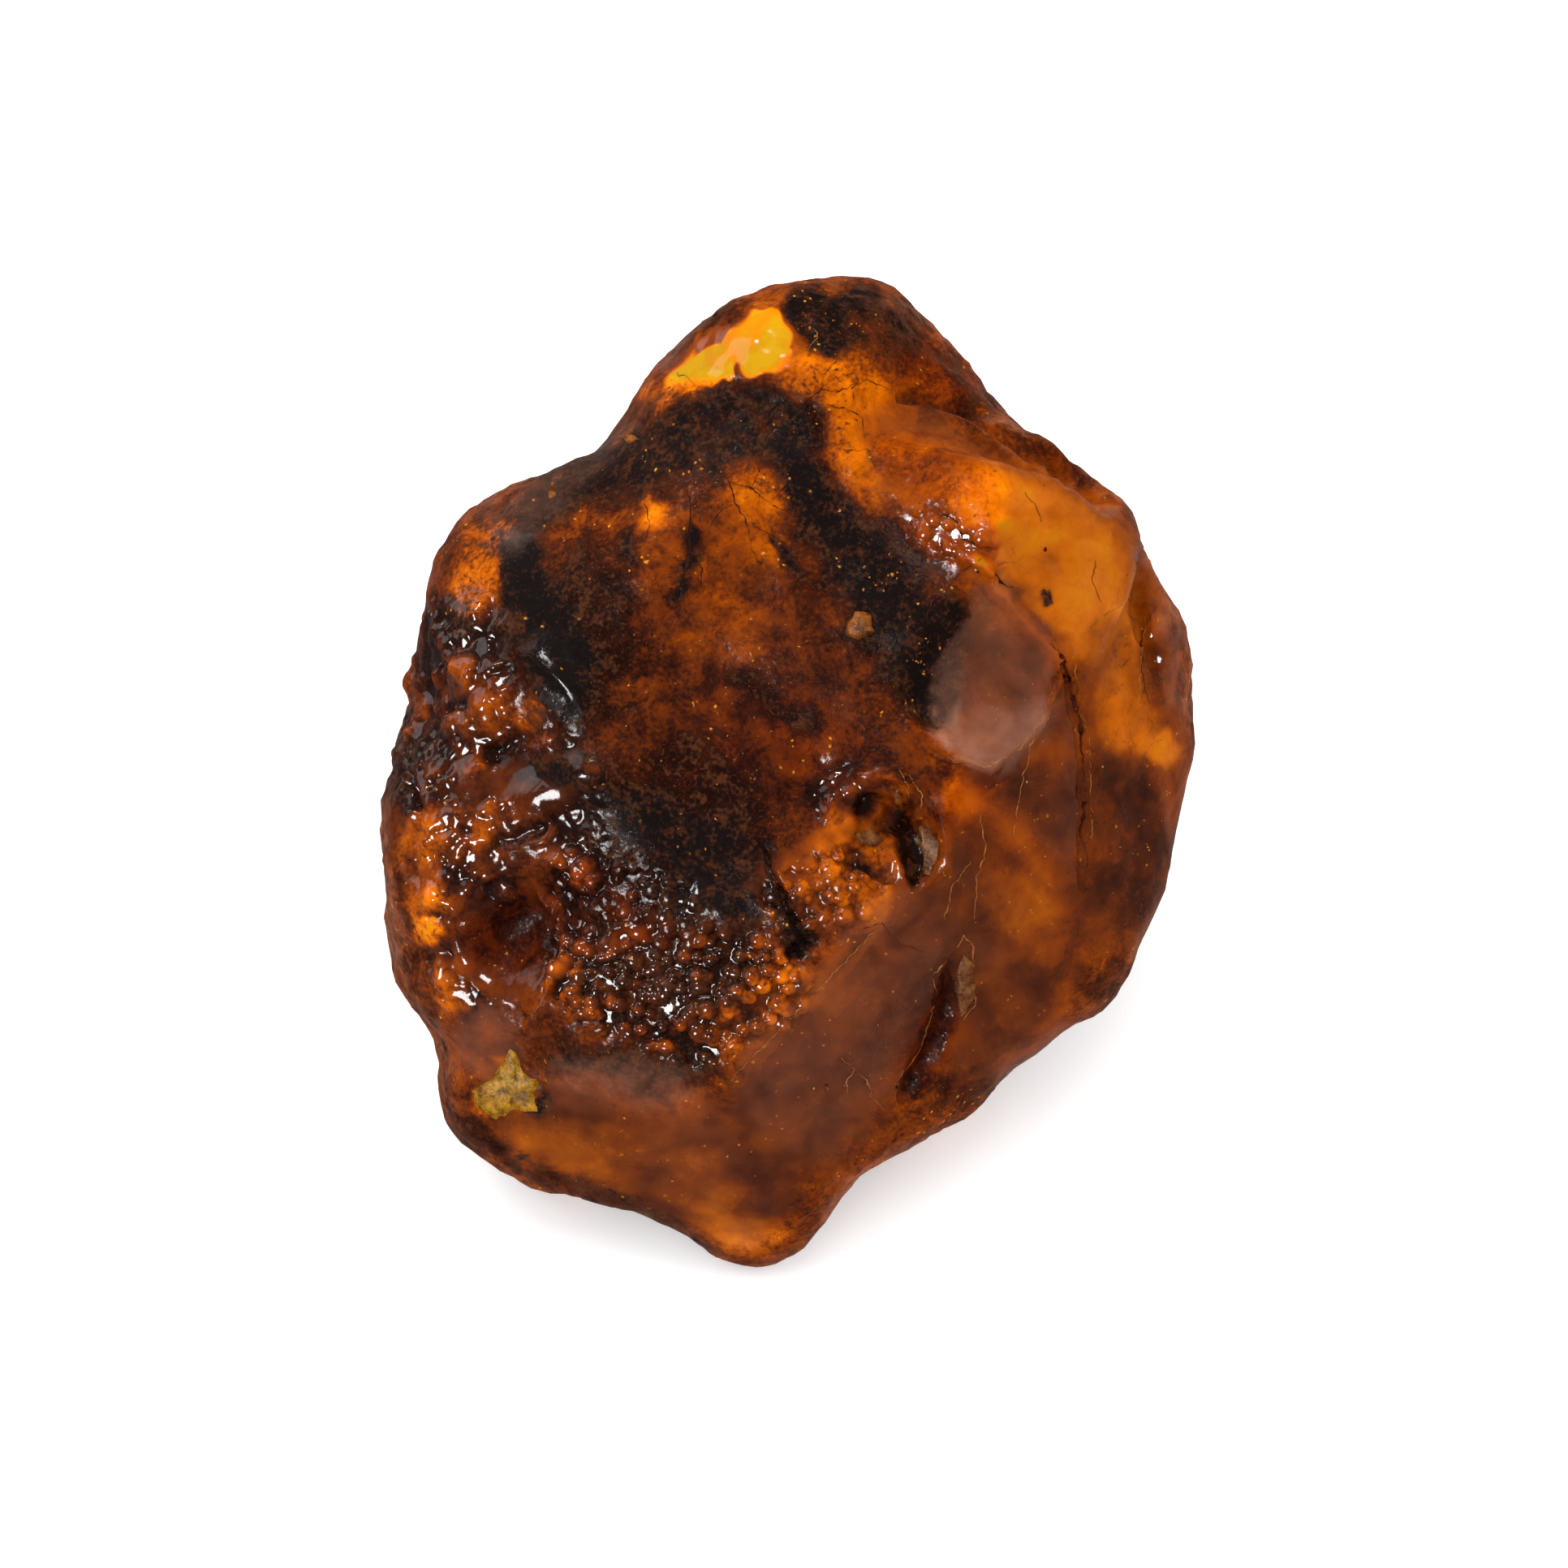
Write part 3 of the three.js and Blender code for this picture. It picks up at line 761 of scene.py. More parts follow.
class Shader:
    """A material's node tree, built by one method that adds any node."""

    def __init__(self, name: str) -> None:
        """Starts an empty material.

        Args:
            name: the material's name.
        """
        self.material = bpy.data.materials.new(name)
        self.material.use_nodes = True
        self.tree = self.material.node_tree
        self.tree.nodes.clear()

    def add(self, kind: str, settings: dict | None = None, inputs: dict | None = None,
            output: int | str = 0) -> Signal:
        """Adds a node.

        Args:
            kind: the node's type.
            settings: its properties; "stops" are a colour ramp's places and colours, in order.
            inputs: a value, a colour or a signal for each input, by name or number.
            output: which output is returned, by name or number.

        Returns:
            The chosen output.
        """
        node = self.tree.nodes.new(kind)
        for key, setting in (settings or {}).items():
            if key != "stops":
                setattr(node, key, setting)
                continue
            elements = node.color_ramp.elements
            while len(elements) < len(setting):
                elements.new(0.5)
            for element, (position, colour) in zip(elements, setting):
                element.position = position
                element.color = (*colour, 1.0)
        for key, value in (inputs or {}).items():
            if isinstance(value, Signal):
                self.tree.links.new(value.socket, node.inputs[key])
            elif node.inputs[key].type == "RGBA":
                node.inputs[key].default_value = (*value, 1.0)
            else:
                node.inputs[key].default_value = value
        return Signal(self, node.outputs[output] if node.outputs else None)

    def spectrum(self, level: Signal, stops: Sequence[tuple[float, Colour]]) -> Signal:
        """Picks a colour from a row of them.

        Args:
            level: where along the row, from 0 to 1.
            stops: each colour's place in the row, and the colour, in order.

        Returns:
            The colour.
        """
        return self.add("ShaderNodeValToRGB", {"stops": stops}, {"Fac": level})

    def millimetres(self) -> Signal:
        """The place on the object, in millimetres."""
        place = self.add("ShaderNodeTexCoord", output="Object")
        return self.add("ShaderNodeVectorMath", {"operation": "SCALE"}, {0: place, "Scale": 1 / MM})

    def layer(self, layer: Layer) -> Signal:
        """What has been painted on the mesh in one layer."""
        return self.add("ShaderNodeAttribute", {"attribute_name": layer.value}, output="Fac")

    def noise(self, place: Signal, kind: Noise) -> Signal:
        """Cloudy noise.

        Args:
            place: where it is read, in mm.
            kind: its size and character.

        Returns:
            Numbers from about -0.5 to 0.5.
        """
        values = {"Vector": place, "Scale": 1 / kind.size, "Detail": kind.detail,
                  "Roughness": kind.rough, "Distortion": kind.twist}
        return self.add("ShaderNodeTexNoise", inputs=values) - 0.5

    def warped(self, place: Signal, size: float, reach: float) -> Signal:
        """A place that is pushed about by noise, for crooked lines.

        Args:
            place: where it starts, in mm.
            size: how far apart the pushes change, in mm.
            reach: how far it is pushed, in mm.

        Returns:
            The new place, in mm.
        """
        push = self.add("ShaderNodeTexNoise", inputs={"Vector": place, "Scale": 1 / size}, output=1)
        push = self.add("ShaderNodeVectorMath", {"operation": "SCALE"}, {0: push, "Scale": reach})
        return self.add("ShaderNodeVectorMath", {"operation": "ADD"}, {0: place, 1: push})

    def cells(self, place: Signal, size: float, measure: Measure = Measure.TO_MIDDLE) -> Signal:
        """Cellular noise.

        Args:
            place: where it is read, in mm.
            size: how far apart its cells are, in mm.
            measure: which distance is measured.

        Returns:
            The distance, as a share of the size.
        """
        values = {"Vector": place, "Scale": 1 / size}
        return self.add("ShaderNodeTexVoronoi", {"feature": measure.value}, values)

    def mix(self, share: Signal | float, first: Signal | Colour, second: Signal | Colour,
            blend: Blend = Blend.PLAIN) -> Signal:
        """Mixes two colours.

        Args:
            share: how much of the second is taken.
            first: the first colour.
            second: the second colour.
            blend: how they are mixed.

        Returns:
            The mixed colour.
        """
        settings = {"data_type": "RGBA", "blend_type": blend.value}
        return self.add("ShaderNodeMix", settings, {0: share, 6: first, 7: second}, 2)

    def bump(self, height: Signal, depth_mm: float) -> Signal:
        """Turns heights into a normal.

        Args:
            height: how high each place stands, as a share of the depth.
            depth_mm: the depth in mm.

        Returns:
            The bumped normal.
        """
        values = {"Height": height, "Distance": depth_mm * MM, "Strength": 1.0}
        return self.add("ShaderNodeBump", inputs=values)

    def cover(self, share: Signal, under: Signal, over: Signal) -> Signal:
        """Lays one surface over part of another.

        Args:
            share: how much is covered.
            under: the surface below.
            over: the surface that covers it.

        Returns:
            The mixed surface.
        """
        return self.add("ShaderNodeMixShader", inputs={0: share, 1: under, 2: over})

    def cloudy(self, soak: "Soak", colour: Signal, rough: Signal, shine: float, normal: Signal,
               ior: float = 1.5) -> Signal:
        """Cloudy resin, which light soaks into.

        Args:
            soak: how light soaks in.
            colour: its colour.
            rough: how matt it is, clamped here.
            shine: how strongly it mirrors the lamps.
            normal: the bumped normal.
            ior: its refractive index.

        Returns:
            The surface.
        """
        return self.add("ShaderNodeBsdfPrincipled", {"subsurface_method": "RANDOM_WALK"}, {
            "Base Color": colour,
            "Roughness": rough.clamped(),
            "IOR": ior,
            "Specular IOR Level": shine,
            "Normal": normal,
            "Subsurface Weight": soak.share,
            "Subsurface Radius": soak.spread,
            "Subsurface Scale": soak.reach * MM,
        })

    def finish(self, surface: Signal, volume: Signal | None = None) -> bpy.types.Material:
        """Joins the surface and the volume to the output.

        Args:
            surface: the surface shader.
            volume: the volume shader.

        Returns:
            The finished material.
        """
        values = {"Surface": surface}
        if volume is not None:
            values["Volume"] = volume
        self.add("ShaderNodeOutputMaterial", inputs=values)
        return self.material


# ----------------------------------------
# Finishes
# ----------------------------------------


@dataclass(frozen=True)
class Soak:
    """How light soaks into cloudy resin.

    Attributes:
        reach: how far it goes in, in mm.
        share: how much of it goes in.
        spread: how far red, green and blue go, as shares of the reach.
    """

    reach: float
    share: float
    spread: Colour


class AmberShader(Shader):
    """The lump's node tree, with the signals that the parts of its finish share."""

    def __init__(self, finish: "AmberFinish") -> None:
        """Works out the shared signals.

        Args:
            finish: the finish, which holds their sizes.
        """
        super().__init__("amber_skin")
        self.place = self.millimetres()
        self.crusted = 1 - self.layer(Layer.POLISH)
        self.clouds = self.noise(self.place, finish.clouds)
        self.mottle = self.noise(self.place, finish.mottle)
        self.specks = self.noise(self.place, finish.specks)
        self.frayed = self.noise(self.place, finish.frayed)
        spread = self.layer(Layer.CRUST) + self.frayed * 1.7 + self.mottle * 0.4
        self.spread = spread + self.crusted * self.specks * 0.8  # how far the crust has spread


@dataclass(frozen=True)
class AmberFinish:
    """The lump's own finish: clear resin, cloudy resin and black crust.

    Breaks, pebbles and warts are glossy, and the rest of the crust is satin to dry.

    Attributes:
        ior: amber's refractive index.
        tint: the colour that clear resin lets through, per unit of depth.
        gleam: the colour that its surface lets through.
        strength: how strongly it absorbs, per metre.
        most_clear: how much of a fully clear place is see-through.
        glass_rough: how matt the see-through resin is.
        soak: how light soaks into the cloudy resin.
        wet_shine: how strongly glossy resin mirrors the lamps.
        dry_shine: how strongly the dry crust does.
        tones: the resin's colours, from deep maroon to clear yellow.
        black: the crust at its darkest.
        brown: the crust at its palest.
        gold: the specks of unweathered resin in the crust, which also serve as painted glints.
        painted_sheen_colour: the pale sheen painted on polished breaks and rims: a painted
            reflection.
        blush: what stains the redder resin.
        clouds: the resin's broad soft patches.
        mottle: its blotches.
        specks: the finest grain.
        frayed: the ragged edges of the crust.
        shoals: the dark and light places deep in polished resin.
        grain: the fine unevenness of the surface.
        waves: its broad unevenness.
    """

    ior: float = 1.54
    tint: Colour = (0.955, 0.63, 0.07)
    gleam: Colour = (1.0, 0.93, 0.8)
    strength: float = 105.0
    most_clear: float = 0.4
    glass_rough: float = 0.05
    soak: Soak = Soak(1.1, 0.35, (1.0, 0.55, 0.18))
    wet_shine: float = 0.22
    dry_shine: float = 0.015
    tones: tuple[tuple[float, Colour], ...] = (
        (0.00, shade(26, 9, 5)),
        (0.15, shade(58, 22, 8)),
        (0.30, shade(94, 38, 8)),
        (0.45, shade(132, 57, 4)),
        (0.60, shade(167, 80, 2)),
        (0.75, shade(204, 102, 2)),
        (0.86, shade(214, 122, 2)),
        (0.94, shade(190, 131, 1)),
        (1.00, shade(192, 144, 5)),
    )
    black: Colour = shade(18, 12, 11)
    brown: Colour = shade(70, 36, 18)
    gold: Colour = shade(222, 150, 44)
    painted_sheen_colour: Colour = shade(158, 108, 86)
    blush: Colour = shade(190, 62, 20)
    clouds: Noise = Noise(3.2, 3.0, 0.6, 0.5)
    mottle: Noise = Noise(1.0, 4.0, 0.68)
    specks: Noise = Noise(0.28, 2.0, 0.5)
    frayed: Noise = Noise(2.2, 5.0, 0.72, 0.7)
    shoals: Noise = Noise(4.5, 2.0, 0.5, 0.8)
    grain: Noise = Noise(0.4, 3.0, 0.6)
    waves: Noise = Noise(3.0, 2.0, 0.6)

    def bare(self, sh: AmberShader) -> Signal:
        """The colour of bare resin.

        Args:
            sh: the lump's shader.

        Returns:
            The colour.
        """
        stain = sh.spread.ramp(-0.05, 0.70)
        deep = sh.noise(sh.place, self.shoals) * sh.layer(Layer.POLISH)
        tone = sh.layer(Layer.TONE) + sh.clouds * 0.36 + sh.mottle * (0.22 + sh.crusted * 0.26)
        tone = tone + deep * 0.45 - stain * (0.10 + sh.crusted * 0.24)
        # Painted shade and light: darker between warts and pebbles, lighter on their tops.
        tone = tone + sh.layer(Layer.RELIEF) * 0.50
        resin = sh.spectrum(tone, self.tones)
        return sh.mix(sh.layer(Layer.RED) * 0.5, resin, self.blush, Blend.STAIN)

    def hidden(self, sh: AmberShader) -> Signal:
        """How much of the resin is hidden by crust, by its pepper of dots, or by veins.

        Args:
            sh: the lump's shader.

        Returns:
            Numbers from 0 to 1.
        """
        pepper = sh.crusted * 0.62 + sh.specks * 2.6 + sh.mottle * 0.9 - 0.24
        seams = 1 - sh.cells(sh.warped(sh.place, 0.9, 0.7), 1.5, Measure.TO_EDGE).ramp(0.01, 0.05)
        seams = seams * sh.layer(Layer.VEINS) * (sh.frayed + sh.specks * 0.4).ramp(-0.06, 0.10)
        crust = sh.spread.ramp(0.44, 0.78)
        return (crust + pepper.ramp(0.74, 0.94) * 0.6 + seams * 0.9).clamped()

    def colour(self, sh: AmberShader, hidden: Signal) -> Signal:
        """The skin's colour: resin, crust, painted sheen, and gold specks and painted glints.

        Args:
            sh: the lump's shader.
            hidden: how much of the resin is hidden.

        Returns:
            The colour.
        """
        rusty = sh.specks * 1.6 + sh.mottle * 1.8 + 0.9 - sh.layer(Layer.CRUST)
        crust = sh.mix(rusty.ramp(-0.1, 0.7), self.black, self.brown)
        colour = sh.mix(hidden, self.bare(sh), crust)
        # Painted sheen: a pale reflection laid in patches wherever the sheen layer is painted.
        sheen_patches = 0.30 + sh.clouds * 0.7 + sh.crusted * sh.mottle * 1.6
        colour = sh.mix((sh.layer(Layer.HAZE) * sheen_patches).clamped(), colour, self.painted_sheen_colour)
        # Gold specks: partly fresh resin, partly painted glints standing in for tiny highlights.
        dots = 1 - sh.cells(sh.warped(sh.place, 0.5, 0.5), 0.66).ramp(0.08, 0.19)
        chance = (sh.mottle + sh.clouds).ramp(0.05, 0.17)
        return sh.mix(dots * chance * (0.34 + sh.crusted * 0.36), colour, self.gold)

    def make(self) -> bpy.types.Material:
        """Builds the material.

        Returns:
            The material.
        """
        sh = AmberShader(self)
        hidden = self.hidden(sh)
        colour = self.colour(sh, hidden)
        grain, waves = sh.noise(sh.place, self.grain), sh.noise(sh.place, self.waves)
        satin = 1 - sh.layer(Layer.GLOSS)
        normal = sh.bump(grain * (0.04 + satin * 0.76) + waves * 0.3, 0.10)
        matt = 0.10 + satin * 0.10 + sh.crusted * sh.specks * 0.25
        cloudy = sh.cloudy(self.soak, colour, matt, self.wet_shine, normal, self.ior)
        matt = 0.34 + sh.specks * 0.4
        dry = sh.cloudy(self.soak, colour, matt, self.dry_shine, normal, self.ior)
        glass = sh.add("ShaderNodeBsdfPrincipled", {"distribution": "MULTI_GGX"}, {
            "Base Color": self.gleam,
            "Roughness": self.glass_rough,
            "IOR": self.ior,
            "Specular IOR Level": self.wet_shine,
            "Normal": normal,
            "Transmission Weight": 1.0,
        })
        clear = sh.layer(Layer.CLEAR) * (1 - hidden) * self.most_clear
        parched = (satin * (sh.specks * 2.0 + 1.25)).clamped()
        wet = sh.cover(clear, cloudy, glass)
        surface = sh.cover(parched, wet, dry)
        tinted = {"Color": self.tint, "Density": self.strength}
        return sh.finish(surface, sh.add("ShaderNodeVolumeAbsorption", inputs=tinted))


@dataclass(frozen=True)
class ChipFinish:
    """Flakes, crumbs and healed cracks of old resin: opaque, mottled and a little glossy.

    Attributes:
        name: the material's name.
        pale: its palest colour.
        dark: its darkest colour.
        rough: how matt it is.
        glow: how far light soaks in, in mm.
        shine: how strongly it mirrors the lamps.
        mottle: its blotches.
        grain: its fine unevenness.
    """

    name: str
    pale: Colour
    dark: Colour
    rough: float = 0.3
    glow: float = 0.5
    shine: float = 0.3
    mottle: Noise = Noise(0.7, 5.0, 0.7)
    grain: Noise = Noise(0.16, 3.0, 0.6)

    def make(self) -> bpy.types.Material:
        """Builds the material.

        Returns:
            The material.
        """
        sh = Shader(self.name)
        place = sh.millimetres()
        mottle, grain = sh.noise(place, self.mottle), sh.noise(place, self.grain)
        share = (mottle * 3.0 + grain * 0.8).ramp(-0.5, 0.6)
        colour = sh.mix(share, self.dark, self.pale)
        normal = sh.bump(mottle + grain * 0.6, 0.12)
        soak = Soak(self.glow, 0.3, (1.0, 0.5, 0.2))
        body = sh.cloudy(soak, colour, self.rough + mottle * 0.4, self.shine, normal)
        return sh.finish(body)


# ----------------------------------------
# The skin
# ----------------------------------------


def rows_of(items: bpy.types.bpy_prop_collection, key: str = "co") -> np.ndarray:
    """Reads one vector from each of a mesh's items.

    Args:
        items: the mesh's vertices or vertex normals.
        key: the vector's name.

    Returns:
        Rows of x, y, z.
    """
    values = np.empty(len(items) * 3, np.float32)
    items.foreach_get(key, values)
    return values.reshape(-1, 3).astype(float)


def with_modifiers(mesh: bpy.types.Mesh, modifiers: Sequence[tuple[str, dict]],
                   plain: np.ndarray | None = None) -> bpy.types.Mesh:
    """Puts a mesh through modifiers.

    Args:
        mesh: the mesh, which is used up.
        modifiers: each modifier's type and settings, in order.
        plain: the numbers of the vertices that go in the group "plain".

    Returns:
        The resulting mesh.
    """
    holder = bpy.data.objects.new("holder", mesh)
    bpy.context.scene.collection.objects.link(holder)
    if plain is not None:
        holder.vertex_groups.new(name="plain").add(plain.tolist(), 1.0, "REPLACE")
    for kind, settings in modifiers:
        modifier = holder.modifiers.new(kind.lower(), kind)
        for key, setting in settings.items():
            setattr(modifier, key, setting)
    graph = bpy.context.evaluated_depsgraph_get()
    made = bpy.data.meshes.new_from_object(holder.evaluated_get(graph))
    bpy.data.objects.remove(holder)
    bpy.data.meshes.remove(mesh)
    return made


def add_piece(mesh: bpy.types.Mesh) -> bpy.types.Object:
    """Puts a finished mesh in the scene as a piece of the lump.

    Args:
        mesh: the mesh, which gives the piece its name.

    Returns:
        The piece.
    """
    piece = bpy.data.objects.new(mesh.name, mesh)
    bpy.context.scene.collection.objects.link(piece)
    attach(piece, BODY)
    return piece


@dataclass(frozen=True)
class Spots:
    """Places on the skin, and where each one reads the marks.

    Attributes:
        places: rows of u, v, w in mm.
        u: distances across the face, made to wander so that the marks get ragged edges.
        v: distances up the face, made to wander in the same way.
        front: 1 on the broad face, falling to 0 on the underside.
    """

    places: np.ndarray
    u: np.ndarray
    v: np.ndarray
    front: np.ndarray

    @classmethod
    def at(cls, places: np.ndarray) -> "Spots":
        """Works out where each place reads the marks.

        Args:
            places: rows of u, v, w in mm.

        Returns:
            The spots.
        """
        u = with_hills(places[:, 0], places, (0.45, 2.4, 11), (0.25, 0.8, 12))
        v = with_hills(places[:, 1], places, (0.45, 2.4, 13), (0.25, 0.8, 14))
        return cls(places, u, v, smoothstep(-6.0, -1.0, places[:, 2]))

    def read(self, layer: Layer, bare: float | np.ndarray = 0.0) -> np.ndarray:
        """How much of a layer each spot has.

        Args:
            layer: the layer.
            bare: what an unmarked spot has.

        Returns:
            The level at each spot.
        """
        level = np.zeros(len(self.places)) + bare
        for mark in PAINTS[layer]:
            level += (mark.level - level) * mark.cover(self.u, self.v) * self.front
        return level


@dataclass(frozen=True)
class LumpSkin:
    """The lump's outer surface, carved and painted.

    Attributes:
        face: the broad face's frame.
        voxel: the fine mesh's first spacing, in mm.
        most_triangles: how many triangles are kept.
        spared: how strongly the busy places are spared when triangles are dropped.
        pebble: how far apart the pebbles are, in mm.
        pebble_rise: how far the pebbles stand out, in mm.
        wart: how far apart the warts are, in mm.
        wart_rise: how far the warts stand out, in mm.
        ripple_rise: how far the ripples of the flow stand out, in mm.
        flow: how much the ripples are squeezed along u, v and w.
        crust_hills: the crust's unevenness: each rise and spacing in mm, and a seed.
        wart_hills: the same among the warts.
        rim: the face's half-width and half-height, in mm, where the painted edge sheen starts.
    """

    face: FaceFrame
    voxel: float = 0.135
    most_triangles: int = 196_000
    spared: float = 1.0
    pebble: float = 0.90
    pebble_rise: float = 0.85
    wart: float = 1.8
    wart_rise: float = 0.62
    ripple_rise: float = 0.34
    flow: tuple[float, float, float] = (1.0, 0.6, 1.0)
    crust_hills: tuple[Hills, ...] = ((0.15, 2.2, 21), (0.08, 0.9, 22), (0.05, 0.42, 23))
    wart_hills: tuple[Hills, ...] = ((0.60, 2.7, 26), (0.36, 1.3, 27), (0.16, 0.6, 28))
    rim: tuple[float, float] = (25.0, 30.0)

    def base_mesh(self) -> bpy.types.Mesh:
        """The CAD solid's own surface, smoothed and cut fine.

        Returns:
            The fine mesh.
        """
        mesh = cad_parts[NODE].data.copy()
        mesh.materials.clear()
        work = bmesh.new()
        work.from_mesh(mesh)
        bmesh.ops.remove_doubles(work, verts=work.verts, dist=0.001 * MM)
        work.to_mesh(mesh)
        work.free()
        return with_modifiers(mesh, [
            ("SUBSURF", {"levels": 1}),
            ("REMESH", {"mode": "VOXEL", "voxel_size": self.voxel * MM, "use_smooth_shade": True}),
            ("SMOOTH", {"factor": 0.5, "iterations": 14}),
        ])

    @staticmethod
    def busy(spots: Spots) -> np.ndarray:
        """Which spots have pebbles, warts or ripples, and so need the finest mesh.

        Args:
            spots: the spots.

        Returns:
            True for the busy ones.
        """
        return np.maximum.reduce([spots.read(layer) for layer in ROUGH]) > 0.45

    def relief(self, spots: Spots) -> np.ndarray:
        """How far the skin stands out from the smooth solid.

        Args:
            spots: the spots.

        Returns:
            Heights in mm.
        """
        places = spots.places
        crusted = 1.0 - spots.read(Layer.POLISH)
        height = with_hills(0.0, places, *((crusted * rise, size, seed)
                                           for rise, size, seed in self.crust_hills))
        for layer, size, rise, sunk in ((Layer.PEBBLES, self.pebble, self.pebble_rise, 0.0),
                                        (Layer.WARTS, self.wart, self.wart_rise, 0.4)):
            amount = spots.read(layer)
            here = amount > 0.02
            bumps = np.maximum(grains(places[here], size, 31) - sunk, 0.0)
            height[here] += amount[here] * rise * (bumps - 0.3)
        height += spots.read(Layer.WARTS) * with_hills(0.0, places, *self.wart_hills)
        ripples = with_hills(lumps(places * self.flow, 2.6, 24), places, (0.4, 1.1, 25))
        height += spots.read(Layer.RIPPLES) * self.ripple_rise * ripples
        here = places[:, 2] > 0.0
        u = with_hills(places[here, 0], places[here], (0.3, 1.2, 91))
        v = with_hills(places[here, 1], places[here], (0.3, 1.2, 92))
        for carving in CARVINGS:
            height[here] -= carving.sink(u, v)
        return height

    def carve(self, mesh: bpy.types.Mesh, spots: Spots) -> None:
        """Moves the mesh's vertices in and out, and keeps the resting flat level.

        Args:
            mesh: the fine mesh.
            spots: its vertices.
        """
        places = rows_of(mesh.vertices)
        height = self.relief(spots) * smoothstep(0.1, 1.2, places[:, 2] / MM)
        places += rows_of(mesh.vertex_normals, "vector") * height[:, None] * MM
        places[:, 2] = np.maximum(places[:, 2], 0.0)
        mesh.vertices.foreach_set("co", places.astype(np.float32).ravel())
        mesh.update()

    def painted_rim_sheen(self, places: np.ndarray, square: np.ndarray) -> np.ndarray:
        """How much painted sheen the rounded edge gets, where the skin turns away from the face.

        Args:
            places: rows of u, v, w in mm.
            square: how squarely the skin faces out of the face at each place.

        Returns:
            Numbers from 0 to 1.
        """
        out = np.hypot(places[:, 0] / self.rim[0], places[:, 1] / self.rim[1])
        painted_rim_sheen = smoothstep(0.62, 0.26, square) * smoothstep(-0.30, 0.0, square)
        return painted_rim_sheen * smoothstep(-12.0, -7.0, places[:, 2]) * smoothstep(0.70, 0.88, out)

    def paint(self, mesh: bpy.types.Mesh) -> None:
        """Writes the layers that the finish reads to the mesh.

        Args:
            mesh: the finished mesh.
        """
        places = self.face.to_face(rows_of(mesh.vertices))
        broad, fine = lumps(places, 8.0, 41), lumps(places, 3.4, 42)
        front = smoothstep(-7.0, -1.0, places[:, 2])
        bare = {
            Layer.TONE: 0.38 + (1.0 - front) * (0.05 + 0.26 * broad + 0.20 * fine),
            Layer.CRUST: 0.18 * front + (1.0 - front) * (0.34 - 0.40 * broad - 0.26 * fine),
            Layer.CLEAR: (1.0 - front) * 0.5,
            Layer.POLISH: (1.0 - front) * (0.50 + 0.45 * broad + 0.25 * fine),
        }
        spots = Spots.at(places)
        levels = {layer: spots.read(layer, bare.get(layer, 0.0)) for layer in PAINTS}
        shiny = [levels[layer] for layer in (Layer.POLISH, Layer.PEBBLES, Layer.WARTS)]
        # Painted sheen on the rim, where the skin turns away from the face; none on rough places.
        painted_rim_sheen = self.painted_rim_sheen(places, rows_of(mesh.vertex_normals, "vector") @ self.face.axes[2])
        painted_rim_sheen *= 1.0 - np.maximum.reduce([levels[layer] for layer in ROUGH])
        levels[Layer.HAZE] = np.maximum(levels[Layer.HAZE], painted_rim_sheen * (0.5 + 0.5 * fine))
        levels[Layer.GLOSS] = np.maximum.reduce(shiny)
        # Kept for the painted shade and light among warts and pebbles.
        levels[Layer.RELIEF] = self.relief(spots) * (levels[Layer.WARTS] + levels[Layer.PEBBLES])
        for layer, level in levels.items():
            mesh.attributes.new(layer.value, "FLOAT", "POINT")
            mesh.attributes[layer.value].data.foreach_set("value", level.astype(np.float32))

    def build(self, finish: AmberFinish) -> bpy.types.Object:
        """Builds the skin.

        Args:
            finish: what it is dressed in.

        Returns:
            The skin.
        """
        mesh = self.base_mesh()
        spots = Spots.at(self.face.to_face(rows_of(mesh.vertices)))
        plain = np.flatnonzero(~self.busy(spots))
        self.carve(mesh, spots)
        triangles = 2 * len(mesh.polygons)
        thin = {"ratio": min(1.0, self.most_triangles / triangles), "vertex_group": "plain",
                "vertex_group_factor": self.spared}
        mesh = with_modifiers(mesh, [("TRIANGULATE", {}), ("DECIMATE", thin)], plain)
        mesh.name = "amber_lump"
        mesh.shade_smooth()
        self.paint(mesh)
        mesh.materials.append(finish.make())
        lump = add_piece(mesh)
        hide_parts(NODE)
        return lump


# ----------------------------------------
# Small things on and in the skin
# ----------------------------------------


@dataclass(frozen=True)
class SkinProbe:
    """Finds places on the skin by looking square at the broad face.

    Attributes:
        face: the broad face's frame.
        tree: the skin's triangles, in metres.
        height: how far above the face it starts to look, in mm.
    """

    face: FaceFrame
    tree: BVHTree
    height: float = 40.0

    @classmethod
    def over(cls, face: FaceFrame, skin: bpy.types.Object) -> "SkinProbe":
        """Makes a probe.

        Args:
            face: the broad face's frame.
            skin: the skin.

        Returns:
            The probe.
        """
        mesh = skin.data
        corners = [vertex.co for vertex in mesh.vertices]
        return cls(face, BVHTree.FromPolygons(corners, [p.vertices for p in mesh.polygons]))

    def touch(self, u: float, v: float) -> tuple[np.ndarray, np.ndarray]:
        """Finds the skin under one point.

        Args:
            u: distance across the face, in mm.
            v: distance up the face, in mm.

        Returns:
            The place and the outward direction there, in the face frame, in mm.
        """
        top = Vector(self.face.to_lump(np.array([u, v, self.height])))
        inward = Vector(-self.face.axes[2])
        hit, normal, _, _ = self.tree.ray_cast(top, inward)
        return self.face.to_face(np.array(hit)), self.face.axes @ np.array(normal)


def walk(corners: Sequence, step: float) -> np.ndarray:
    """Even steps along a line, without its last corner.

    Args:
        corners: the line's corners, as u and v in mm.
        step: about how long a step is, in mm.

    Returns:
        Rows of u and v in mm.
    """
    trail = []
    for start, end in zip(np.array(corners), np.array(corners)[1:]):
        steps = max(2, int(np.hypot(*(end - start)) / step))
        trail += [start + (end - start) * t for t in np.arange(steps) / steps]
    return np.array(trail)


